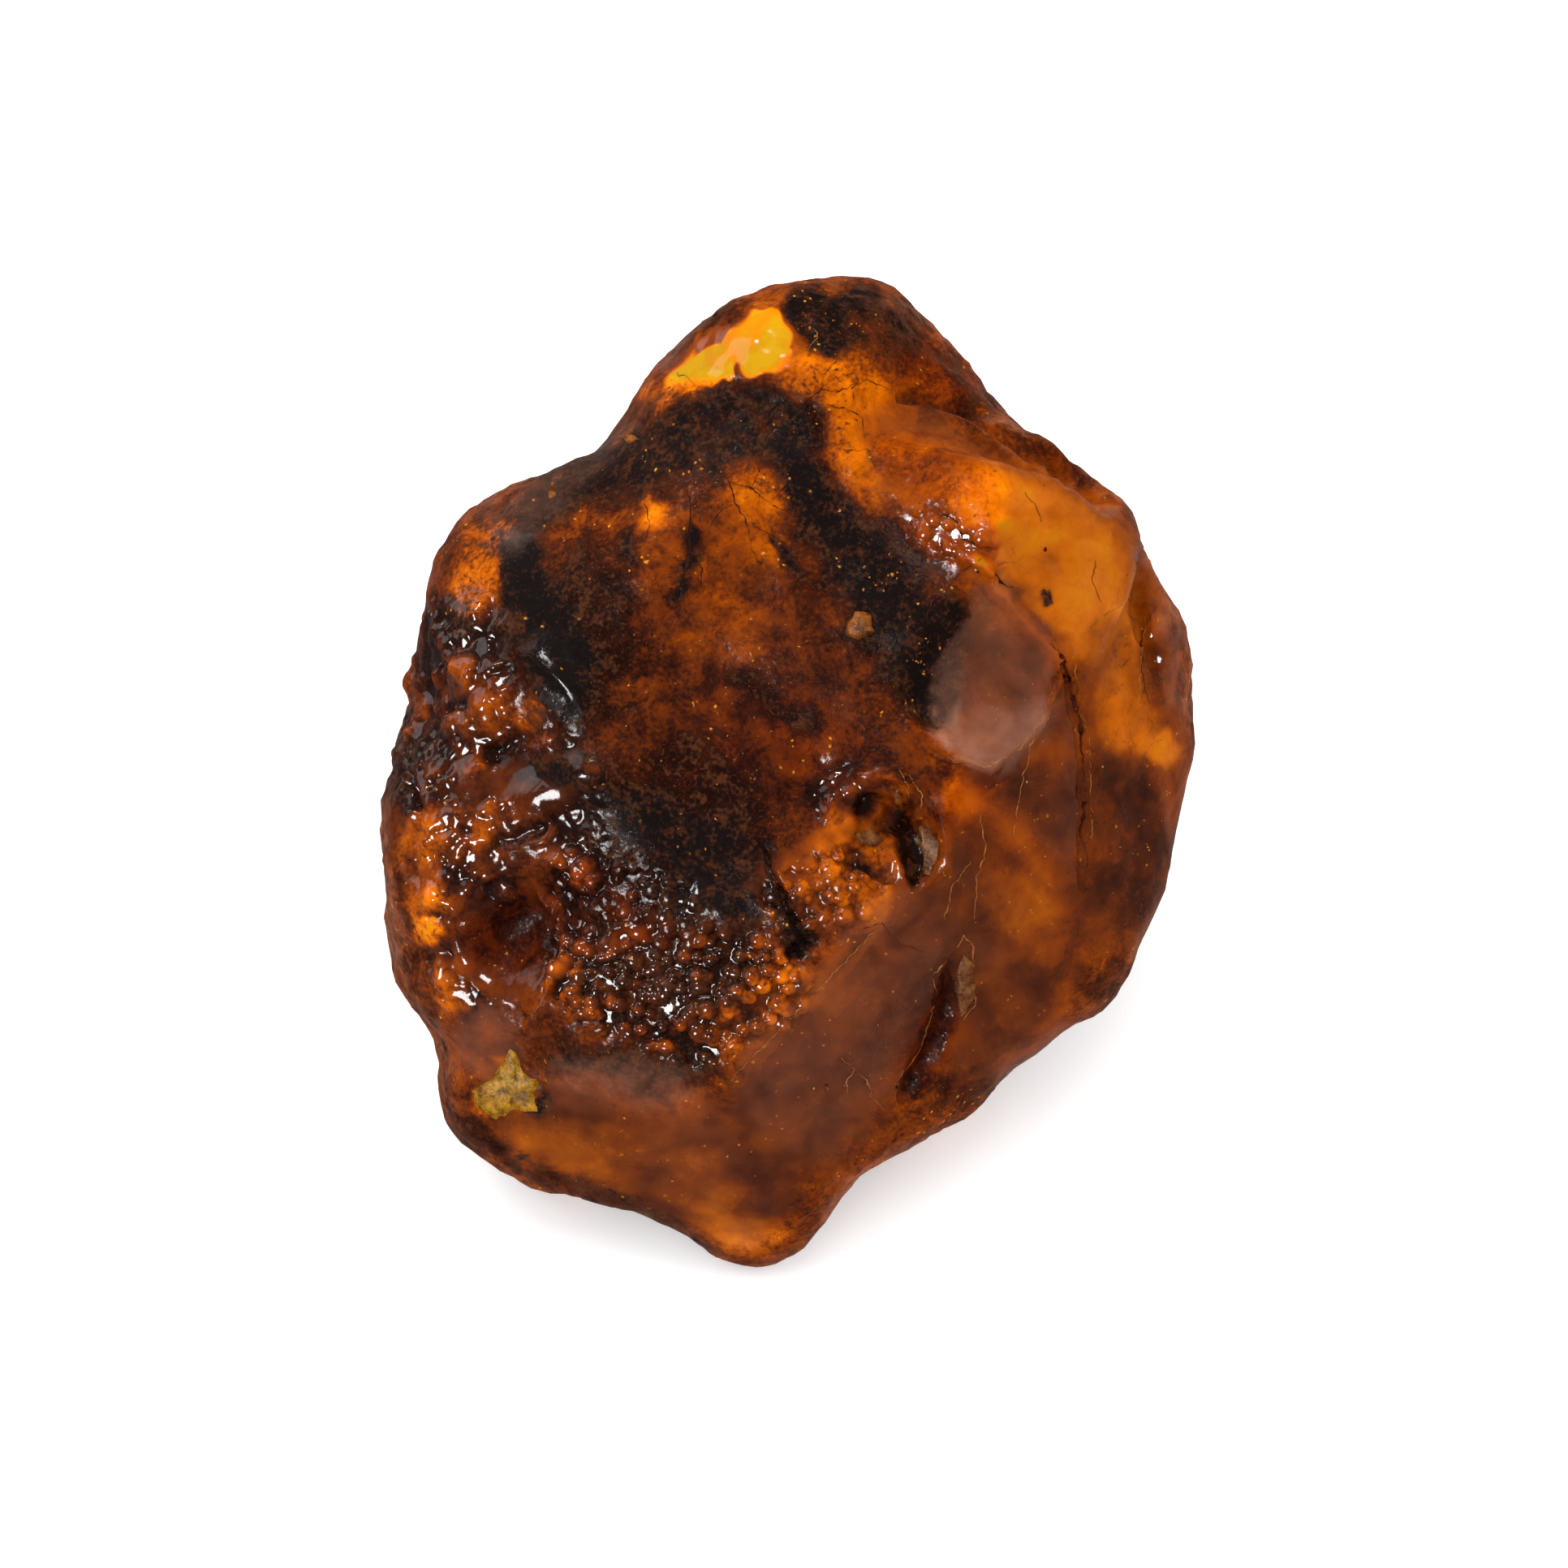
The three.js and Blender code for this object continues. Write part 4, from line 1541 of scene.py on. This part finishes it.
def tube(rings: int, count: int) -> list[tuple[int, ...]]:
    """The faces of a closed tube.

    Args:
        rings: how many rings of corners it has.
        count: how many corners a ring has.

    Returns:
        Faces: the first end, the sides and the last end.
    """
    last = (rings - 1) * count
    faces = [tuple(reversed(range(count)))]
    for low in range(0, last, count):
        high = low + count
        for i in range(count):
            j = (i + 1) % count
            faces.append((low + i, low + j, high + j, high + i))
    return [*faces, tuple(range(last, last + count))]


@dataclass(frozen=True)
class Flake:
    """A thin plate of old resin or crust that lies on the skin.

    Attributes:
        outline: its corners, as u and v in mm, in order.
        thickness: how far it stands out, in mm.
        lift: how much higher its middle is than its edge, in mm.
        root: how deep its edge is sunk, in mm.
        step: how long the steps round its edge are, in mm.
        ragged: how far its edge wanders, in mm.
        uneven: how far its top does, in mm.
        rings: the size of each ring of corners, from the sunk edge inwards.
    """

    outline: tuple[tuple[float, float], ...]
    thickness: float = 0.25
    lift: float = 0.1
    root: float = 0.25
    step: float = 0.3
    ragged: float = 0.07
    uneven: float = 0.03
    rings: tuple[float, ...] = (1.0, 0.96, 0.7, 0.35)

    def shell(self, probe: SkinProbe, seed: int) -> Shell:
        """Builds its closed surface.

        Args:
            probe: finds the skin under it.
            seed: picks its ragged edge.

        Returns:
            Places in the face frame in mm, and faces.
        """
        rng = np.random.default_rng(seed)
        edge = walk((*self.outline, self.outline[0]), self.step)
        edge += rng.normal(0.0, self.ragged, edge.shape)
        middle, count = edge.mean(axis=0), len(edge)
        spots = [spot for ring in self.rings for spot in middle + (edge - middle) * ring]
        points, normals = (np.array(rows) for rows in zip(*(probe.touch(*spot) for spot in spots)))
        outward = normals.mean(axis=0)
        outward /= np.linalg.norm(outward)
        heights = np.repeat([-self.root, self.thickness, self.thickness + 0.6 * self.lift,
                             self.thickness + self.lift], count)
        heights[count:] += rng.normal(0.0, self.uneven, len(heights) - count)
        points += heights[:, None] * outward
        return points.tolist(), tube(len(self.rings), count)


class Swell(Enum):
    """How a hairline's width changes along its way: what it is multiplied by."""

    BROKEN = (0.1, 0.2, 0.5, 0.9, 1.3, 1.7)
    STEADY = (0.7, 0.9, 1.1, 1.4)


@dataclass(frozen=True)
class Hairline:
    """A healed crack: a thin raised seam that wanders over the skin.

    Attributes:
        path: its corners, as u and v in mm.
        width: how wide it is in mm.
        swell: how its width changes along its way.
        step: how long the steps along it are, in mm.
        wander: how far it strays from its path, in mm.
        root: how deep its edges are sunk, in mm.
        rise: how far its ridge stands out, in mm.
    """

    path: tuple[tuple[float, float], ...]
    width: float = 0.10
    swell: Swell = Swell.BROKEN
    step: float = 0.22
    wander: float = 0.05
    root: float = 0.06
    rise: float = 0.04

    def shell(self, probe: SkinProbe, seed: int) -> Shell:
        """Builds its closed surface, a three-sided bar.

        Args:
            probe: finds the skin under it.
            seed: picks how it wanders.

        Returns:
            Places in the face frame in mm, and faces.
        """
        rng = np.random.default_rng(seed)
        trail = np.vstack([walk(self.path, self.step), self.path[-1]])
        trail += rng.normal(0.0, self.wander, trail.shape)
        sides = np.gradient(trail, axis=0)
        sides = np.stack([-sides[:, 1], sides[:, 0]], axis=1)
        sides /= np.linalg.norm(sides, axis=1)[:, None]
        points = []
        for i, (middle, side) in enumerate(zip(trail, sides)):
            share = math.sin(math.pi * (i + 0.4) / (len(trail) - 0.2)) ** 0.5
            half = self.width / 2 * share * rng.choice(self.swell.value)
            for offset, rise in ((-half, -self.root), (half, -self.root), (0.0, self.rise)):
                point, normal = probe.touch(*(middle + side * offset))
                points.append((point + normal * rise).tolist())
        return points, tube(len(trail), 3)


@dataclass(frozen=True)
class Crumbs:
    """Small rounded crumbs scattered over, or sealed under, part of the skin.

    Attributes:
        dabs: where they are: each area's u, v and radius in mm.
        count: how many there are in each area.
        sizes: the smallest and largest half-width in mm.
        depth: how far under the skin their middles are, in mm: the least, which is less than 0
            where some stand out, and the most.
        stretch: how much a crumb's length differs from its size, at least and at most.
        knobbly: how much its corners do.
    """

    dabs: tuple[Dab, ...]
    count: int
    sizes: tuple[float, float]
    depth: tuple[float, float]
    stretch: tuple[float, float] = (0.6, 1.3)
    knobbly: tuple[float, float] = (0.8, 1.2)

    def shell(self, probe: SkinProbe, seed: int) -> Shell:
        """Builds their closed surfaces.

        Args:
            probe: finds the skin over them.
            seed: picks their places and shapes.

        Returns:
            Places in the face frame in mm, and faces.
        """
        rng = np.random.default_rng(seed)
        ball = bmesh.new()
        bmesh.ops.create_icosphere(ball, subdivisions=1, radius=1.0)
        corners = np.array([vertex.co for vertex in ball.verts])
        ball_faces = [[vertex.index for vertex in face.verts] for face in ball.faces]
        ball.free()
        points, faces = [], []
        for u, v, radius in self.dabs:
            for _ in range(self.count):
                angle, reach = rng.uniform(0.0, 2 * math.pi), radius * math.sqrt(rng.uniform())
                spot = (u + reach * math.cos(angle), v + reach * math.sin(angle))
                point, normal = probe.touch(*spot)
                size = self.sizes[0] * (self.sizes[1] / self.sizes[0]) ** rng.uniform()
                stretch = size * rng.uniform(*self.stretch, 3)
                shaped = corners * rng.uniform(*self.knobbly, (len(corners), 1)) * stretch
                first = len(points)
                centre = point - normal * rng.uniform(*self.depth)
                points += (centre + shaped).tolist()
                faces += [[first + index for index in face] for face in ball_faces]
        return points, faces


@dataclass(frozen=True)
class Trimmings:
    """A set of small things that share one finish and one mesh.

    Attributes:
        name: the mesh's name.
        slot: the record's slot for it; not used.
        finish: what it is dressed in.
        items: the flakes, hairlines or crumbs.
    """

    name: str
    slot: Slot
    finish: ChipFinish
    items: tuple[Flake | Hairline | Crumbs, ...]

    def build(self, probe: SkinProbe) -> bpy.types.Object:
        """Builds all of them as one piece.

        Args:
            probe: finds the skin.

        Returns:
            The piece.
        """
        points, faces = [], []
        for seed, item in enumerate(self.items):
            more, more_faces = item.shell(probe, seed)
            faces += [[len(points) + index for index in face] for face in more_faces]
            points += more
        mesh = bpy.data.meshes.new(self.name)
        mesh.from_pydata(probe.face.to_lump(np.array(points)).tolist(), [], faces)
        mesh.shade_smooth()
        mesh.materials.append(self.finish.make())
        return add_piece(mesh)


TRIMMINGS = (
    Trimmings("tan_flakes", Slot.CRUST,
              ChipFinish("tan_flake", shade(146, 84, 26), shade(66, 32, 10), 0.22, 0.5, 0.14), (
        Flake(((3.4, 8.3), (4.2, 8.0), (5.2, 8.6), (5.0, 9.6), (4.0, 9.8), (3.5, 9.2)), 0.22, 0.3),
        Flake(((-10.4, 20.5), (-9.8, 20.9), (-9.3, 20.4), (-9.8, 20.1)), 0.15, 0.2),
        Flake(((-15.0, 17.3), (-14.6, 17.6), (-14.4, 17.1), (-14.7, 16.8)), 0.15),
        Flake(((6.2, -1.0), (6.6, -0.9), (6.9, -1.5), (6.7, -2.2), (6.3, -1.8)), 0.12),
    )),
    Trimmings("olive_flakes", Slot.CRUST,
              ChipFinish("olive_flake", shade(124, 78, 38), shade(72, 34, 12), 0.18, 1.2, 0.18), (
        Flake(((10.5, -11.0), (11.2, -11.7), (11.4, -12.8), (11.3, -13.9), (10.5, -15.0),
               (10.3, -14.0), (9.95, -13.0)), 0.10, 0.1),
        Flake(((7.9, -3.2), (8.5, -3.5), (9.1, -4.4), (9.0, -5.2), (8.4, -6.4), (8.1, -5.4),
               (7.7, -4.2)), 0.12, 0.15),
        Flake(((3.9, -3.6), (5.0, -3.4), (5.7, -4.1), (5.2, -4.5), (4.2, -4.4)), 0.08),
    )),
    Trimmings("corner_flake", Slot.CRUST,
              ChipFinish("corner_flake", shade(182, 130, 20), shade(92, 56, 5), 0.18, 1.4, 0.2), (
        Flake(((-19.7, -19.6), (-18.2, -18.7), (-17.2, -16.9), (-16.7, -17.3), (-16.4, -18.4),
               (-15.3, -19.1), (-15.9, -19.8), (-15.4, -20.9), (-17.0, -20.7), (-18.2, -21.4),
               (-19.3, -20.8)), 0.08, 0.22),
        Flake(((-17.7, -18.4), (-16.9, -17.7), (-16.7, -18.8), (-17.3, -19.6)), 0.22, 0.15),
    )),
    Trimmings("dark_cracks", Slot.DEBRIS,
              ChipFinish("dark_crack", shade(88, 28, 8), shade(38, 13, 6), 0.3, 0.5, 0.06), (
        Hairline(((15.8, 7.9), (16.7, 6.9), (17.1, 5.0), (17.7, 3.2), (17.9, 0.6)), 0.42,
                 Swell.STEADY),
        Hairline(((17.9, 0.8), (18.1, -1.6), (17.8, -3.6), (18.2, -5.2), (18.1, -7.4)), 0.28,
                 Swell.STEADY),
        Hairline(((22.6, 10.4), (21.6, 8.6), (21.6, 6.4), (22.0, 4.2)), 0.20, Swell.STEADY),
        Hairline(((8.2, 8.9), (8.6, 10.4), (10.4, 12.2), (11.6, 13.0)), 0.20, Swell.STEADY),
        Hairline(((4.2, -9.6), (5.6, -9.2), (6.6, -10.4), (8.2, -11.0)), 0.12),
    )),
    Trimmings("crust_veins", Slot.DEBRIS,
              ChipFinish("crust_vein", shade(54, 24, 10), shade(24, 12, 8), 0.4, 0.3, 0.02), (
        Hairline(((-6.4, 17.4), (-6.0, 16.0), (-6.2, 14.6)), 0.16),
        Hairline(((-6.2, 14.9), (-6.1, 13.2), (-6.5, 12.0), (-7.0, 11.0)), 0.44, Swell.STEADY),
        Hairline(((-6.1, 13.4), (-5.4, 12.4), (-5.5, 11.4)), 0.14),
        Hairline(((-4.7, 18.8), (-3.7, 17.7), (-3.4, 16.4), (-2.6, 15.2), (-2.4, 13.6),
                  (-1.6, 12.4)), 0.16),
        Hairline(((-3.7, 17.7), (-2.4, 17.3), (-1.2, 16.4), (0.3, 15.6), (1.4, 15.2)), 0.15),
        Hairline(((-2.4, 17.3), (-1.9, 18.4), (-2.2, 19.4)), 0.12),
        Hairline(((-1.2, 16.4), (-0.4, 17.4), (0.5, 17.9)), 0.12),
        Hairline(((-2.6, 15.2), (-1.4, 14.6), (-0.6, 13.4), (0.4, 12.8)), 0.13),
        Hairline(((-3.4, 16.4), (-4.4, 15.8), (-4.9, 14.9)), 0.12),
        Hairline(((-8.9, 16.6), (-8.6, 15.2), (-8.8, 14.0)), 0.10),
        Hairline(((0.9, 22.6), (1.9, 23.4), (3.0, 23.3), (4.6, 24.0), (6.2, 23.4)), 0.14),
        Hairline(((1.9, 23.4), (2.0, 24.4), (2.9, 25.2)), 0.12),
        Hairline(((2.2, 22.4), (3.4, 22.2), (4.4, 21.6), (4.5, 20.4)), 0.13),
        Hairline(((2.4, 20.2), (3.4, 19.6), (4.6, 19.7), (5.2, 18.6)), 0.12),
        Hairline(((-7.0, 24.6), (-6.3, 24.2), (-5.6, 23.2)), 0.10),
        Hairline(((12.4, 12.2), (12.9, 11.4), (13.6, 11.2)), 0.16),
        Hairline(((9.4, 15.6), (10.2, 15.2), (10.4, 14.2), (11.4, 13.8)), 0.20),
        Hairline(((14.2, 17.0), (15.0, 16.2), (15.2, 15.2)), 0.08),
        Hairline(((18.6, 13.0), (18.4, 11.6), (19.0, 10.4)), 0.08),
    )),
    Trimmings("healed_cracks", Slot.CRUST,
              ChipFinish("healed_crack", shade(196, 120, 30), shade(120, 62, 14), 0.3), (
        Hairline(((20.8, 10.6), (19.2, 9.6), (17.9, 8.5), (17.2, 7.0)), 0.11),
        Hairline(((3.1, -17.5), (3.9, -18.2), (4.7, -18.9), (5.1, -20.0), (5.7, -20.8)), 0.11),
        Hairline(((3.9, -18.2), (3.4, -19.0), (3.5, -19.6)), 0.07),
        Hairline(((11.5, -2.4), (11.9, -4.6), (11.4, -6.6), (11.2, -9.0)), 0.08),
        Hairline(((11.0, -5.4), (9.8, -7.2), (9.4, -9.0)), 0.07),
        Hairline(((9.7, -11.3), (8.7, -12.5), (9.0, -13.6)), 0.10),
        Hairline(((8.8, -14.4), (8.0, -17.0), (6.7, -18.8), (6.5, -19.8)), 0.09),
        Hairline(((10.2, -10.7), (10.6, -10.0), (11.2, -10.6), (11.3, -11.8)), 0.12),
        Hairline(((11.4, -12.9), (11.3, -14.4), (10.6, -15.2)), 0.09),
        Hairline(((21.9, 9.6), (21.6, 6.8), (21.4, 4.2)), 0.06),
        Hairline(((-14.8, -12.4), (-15.0, -13.6), (-15.8, -15.0)), 0.11),
        Hairline(((7.2, -0.2), (8.0, -1.4), (7.9, -2.4)), 0.12),
        Hairline(((6.6, 0.1), (7.2, -0.9), (7.2, -1.8)), 0.10),
        Hairline(((8.4, 1.6), (10.0, 0.7), (12.0, 0.3), (14.0, 1.4), (15.4, 3.4), (16.2, 5.6)),
                 0.07),
        Hairline(((1.0, 25.6), (1.6, 26.8), (1.2, 27.8)), 0.07),
        Hairline(((-3.7, -18.9), (-2.4, -17.4), (0.4, -14.6), (3.4, -11.4), (5.2, -9.6)), 0.07),
        Hairline(((15.2, 3.6), (14.0, -1.0), (13.6, -4.0)), 0.05),
        Hairline(((17.4, 6.6), (17.6, 4.4), (18.3, 2.2), (18.4, -0.6), (18.5, -4.0)), 0.06),
    )),
    Trimmings("gold_crumbs", Slot.CRUST,
              ChipFinish("gold_crumb", shade(190, 118, 34), shade(110, 62, 18), 0.3), (
        Crumbs(((5.6, 12.2, 1.6), (8.4, 7.4, 1.6)), 14, (0.04, 0.12), (-0.04, 0.04)),
        Crumbs(((-8.0, 18.8, 3.6), (-1.0, 20.4, 3.0)), 10, (0.04, 0.10), (-0.03, 0.04)),
        Crumbs(((-9.0, -2.0, 5.0), (-4.0, 4.0, 5.0)), 14, (0.04, 0.10), (-0.03, 0.04)),
        Crumbs(((-12.0, -23.0, 4.0), (-3.0, -22.0, 3.0)), 10, (0.04, 0.09), (-0.03, 0.04)),
        Crumbs(((5.0, -13.0, 4.0), (1.0, -19.0, 3.4), (14.0, -6.0, 5.0), (14.0, 2.0, 4.0)), 14,
               (0.03, 0.08), (-0.03, 0.03)),
        Crumbs(((2.0, 27.6, 2.4), (-20.0, 0.0, 4.0), (20.6, -2.0, 4.0)), 14, (0.04, 0.09),
               (-0.03, 0.03)),
    )),
    Trimmings("sealed_specks", Slot.DEBRIS,
              ChipFinish("sealed_speck", shade(84, 34, 10), shade(40, 16, 7), 0.6, 0.5, 0.0), (
        Crumbs(((14.0, 14.0, 4.0), (18.6, 12.0, 2.6)), 34, (0.04, 0.15), (0.02, 1.2)),
        Crumbs(((13.6, -4.0, 3.6), (9.0, -13.0, 4.6), (2.0, -20.0, 3.4)), 26, (0.04, 0.16),
               (0.02, 1.4)),
        Crumbs(((-10.0, -23.6, 3.4), (-4.0, -24.6, 3.0)), 22, (0.04, 0.15), (0.02, 1.2)),
        Crumbs(((20.6, 5.0, 3.0),), 30, (0.04, 0.15), (0.02, 1.0)),
        Crumbs(((11.6, 5.6, 3.6),), 20, (0.04, 0.13), (0.02, 1.0)),
    )),
)


# ----------------------------------------
# The studio
# ----------------------------------------


@dataclass(frozen=True)
class Lamp:
    """A square softbox that points at the lump.

    Attributes:
        name: its name.
        place: where it is, in metres.
        side: how wide it is, in metres.
        watts: its power.
        mirrored: whether it shows in shiny surfaces.
        fills: whether it lights matt surfaces.
        target: where it points, in metres.
    """

    name: str
    place: tuple[float, float, float]
    side: float
    watts: float
    mirrored: bool = True
    fills: bool = True
    target: tuple[float, float, float] = (0.0, 0.0, 0.018)

    def build(self) -> None:
        """Makes the lamp."""
        data = bpy.data.lights.new(self.name, "AREA")
        data.size = self.side
        data.energy = self.watts
        lamp = bpy.data.objects.new(self.name, data)
        lamp.location = self.place
        aim = Vector(self.target) - Vector(self.place)
        lamp.rotation_euler = aim.to_track_quat("-Z", "Y").to_euler()
        lamp.visible_glossy = self.mirrored
        lamp.visible_diffuse = self.fills
        bpy.context.scene.collection.objects.link(lamp)


@dataclass(frozen=True)
class PaperFinish:
    """The floor's finish: matt white paper that is lit a little from within.

    Attributes:
        white: its colour.
        rough: how matt it is.
        shine: how strongly it mirrors.
        glow: how bright it is by itself.
    """

    white: Colour = (0.93, 0.93, 0.93)
    rough: float = 0.9
    shine: float = 0.1
    glow: float = 0.25

    def make(self) -> bpy.types.Material:
        """Builds the material.

        Returns:
            The material.
        """
        sh = Shader("pale_floor")
        paper = sh.add("ShaderNodeBsdfPrincipled", inputs={
            "Base Color": self.white,
            "Roughness": self.rough,
            "Specular IOR Level": self.shine,
            "Emission Color": (1.0, 1.0, 1.0),
            "Emission Strength": self.glow,
        })
        return sh.finish(paper)


@dataclass(frozen=True)
class Studio:
    """The pale floor, the soft light and the camera.

    Attributes:
        face: the broad face's frame, which the camera looks square at.
        aim: where the camera looks, in the face frame, in mm.
        distance: from there to the camera, in mm.
        field_mm: how wide the picture is at the aim, in mm.
        sensor: the camera's sensor width in mm.
        room: how bright the room itself is.
        floor_reach: how far the floor goes each way, in metres.
        paper: the floor's finish.
        lamps: the softboxes.
    """

    face: FaceFrame
    aim: tuple[float, float, float] = (-0.4, -0.7, 2.0)
    distance: float = 700.0
    field_mm: float = 97.0
    sensor: float = 36.0
    room: float = 0.16
    floor_reach: float = 3.0
    paper: PaperFinish = PaperFinish()
    lamps: tuple[Lamp, ...] = (
        Lamp("glint_softbox", (-0.45, -0.50, 0.42), 0.29, 14.0, True, False),
        Lamp("sheen_softbox", (-0.66, 0.34, 0.34), 0.55, 2.3, True, False),
        Lamp("spark_lamp", (-0.24, 0.30, 0.68), 0.11, 2.6, True, False),
        Lamp("top_softbox", (-0.14, 0.10, 0.80), 0.80, 5.2, False),
        Lamp("back_softbox", (-0.20, 0.56, 0.58), 0.70, 3.6, False),
        Lamp("left_softbox", (-0.62, -0.10, 0.56), 0.60, 2.0, False),
        Lamp("right_softbox", (0.52, 0.06, 0.64), 0.70, 3.2, False),
        Lamp("front_softbox", (-0.02, -0.58, 0.60), 0.70, 3.2, False),
    )

    def camera(self) -> None:
        """Makes the camera."""
        target, eye = self.face.to_lump(np.array([
            self.aim,
            (self.aim[0], self.aim[1], self.aim[2] + self.distance),
        ]))
        data = bpy.data.cameras.new("camera")
        data.sensor_width = self.sensor
        data.lens = self.sensor * self.distance / self.field_mm
        data.clip_start = 0.01
        camera = bpy.data.objects.new("camera", data)
        camera.location = eye
        camera.rotation_euler = Vector(target - eye).to_track_quat("-Z", "Y").to_euler()
        bpy.context.scene.collection.objects.link(camera)
        bpy.context.scene.camera = camera

    def walls(self) -> None:
        """Makes the room's own dim light."""
        world = bpy.data.worlds.new("room")
        world.use_nodes = True
        background = world.node_tree.nodes["Background"]
        background.inputs["Color"].default_value = (1.0, 1.0, 1.0, 1.0)
        background.inputs["Strength"].default_value = self.room
        bpy.context.scene.world = world

    def floor(self) -> None:
        """Makes the pale floor."""
        mesh = bpy.data.meshes.new("floor")
        ways = ((-1, -1), (1, -1), (1, 1), (-1, 1))
        corners = [(x * self.floor_reach, y * self.floor_reach, 0) for x, y in ways]
        mesh.from_pydata(corners, [], [(0, 1, 2, 3)])
        mesh.materials.append(self.paper.make())
        floor = bpy.data.objects.new("floor", mesh)
        floor.visible_glossy = False
        bpy.context.scene.collection.objects.link(floor)

    def build(self) -> None:
        """Makes the whole studio."""
        self.camera()
        self.walls()
        self.floor()
        for lamp in self.lamps:
            lamp.build()
        bpy.context.scene.view_settings.view_transform = "Standard"


def plain(box: tuple[Vector, Vector]) -> list[list[float]]:
    """A box as plain lists: its lowest and its highest corner."""
    return [[float(c) for c in corner] for corner in box]


def main() -> None:
    """Builds every piece in order."""
    logging.basicConfig(level=logging.INFO, format="%(name)s: %(message)s")
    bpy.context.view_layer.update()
    face = FaceFrame()
    Studio(face).build()
    skin = LumpSkin(face).build(AmberFinish())
    log.info("%s: %d triangles", skin.name, len(skin.data.polygons))
    probe = SkinProbe.over(face, skin)
    for trimmings in TRIMMINGS:
        piece = trimmings.build(probe)
        log.info("%s: %d faces", piece.name, len(piece.data.polygons))


if __name__ == "__main__":
    main()
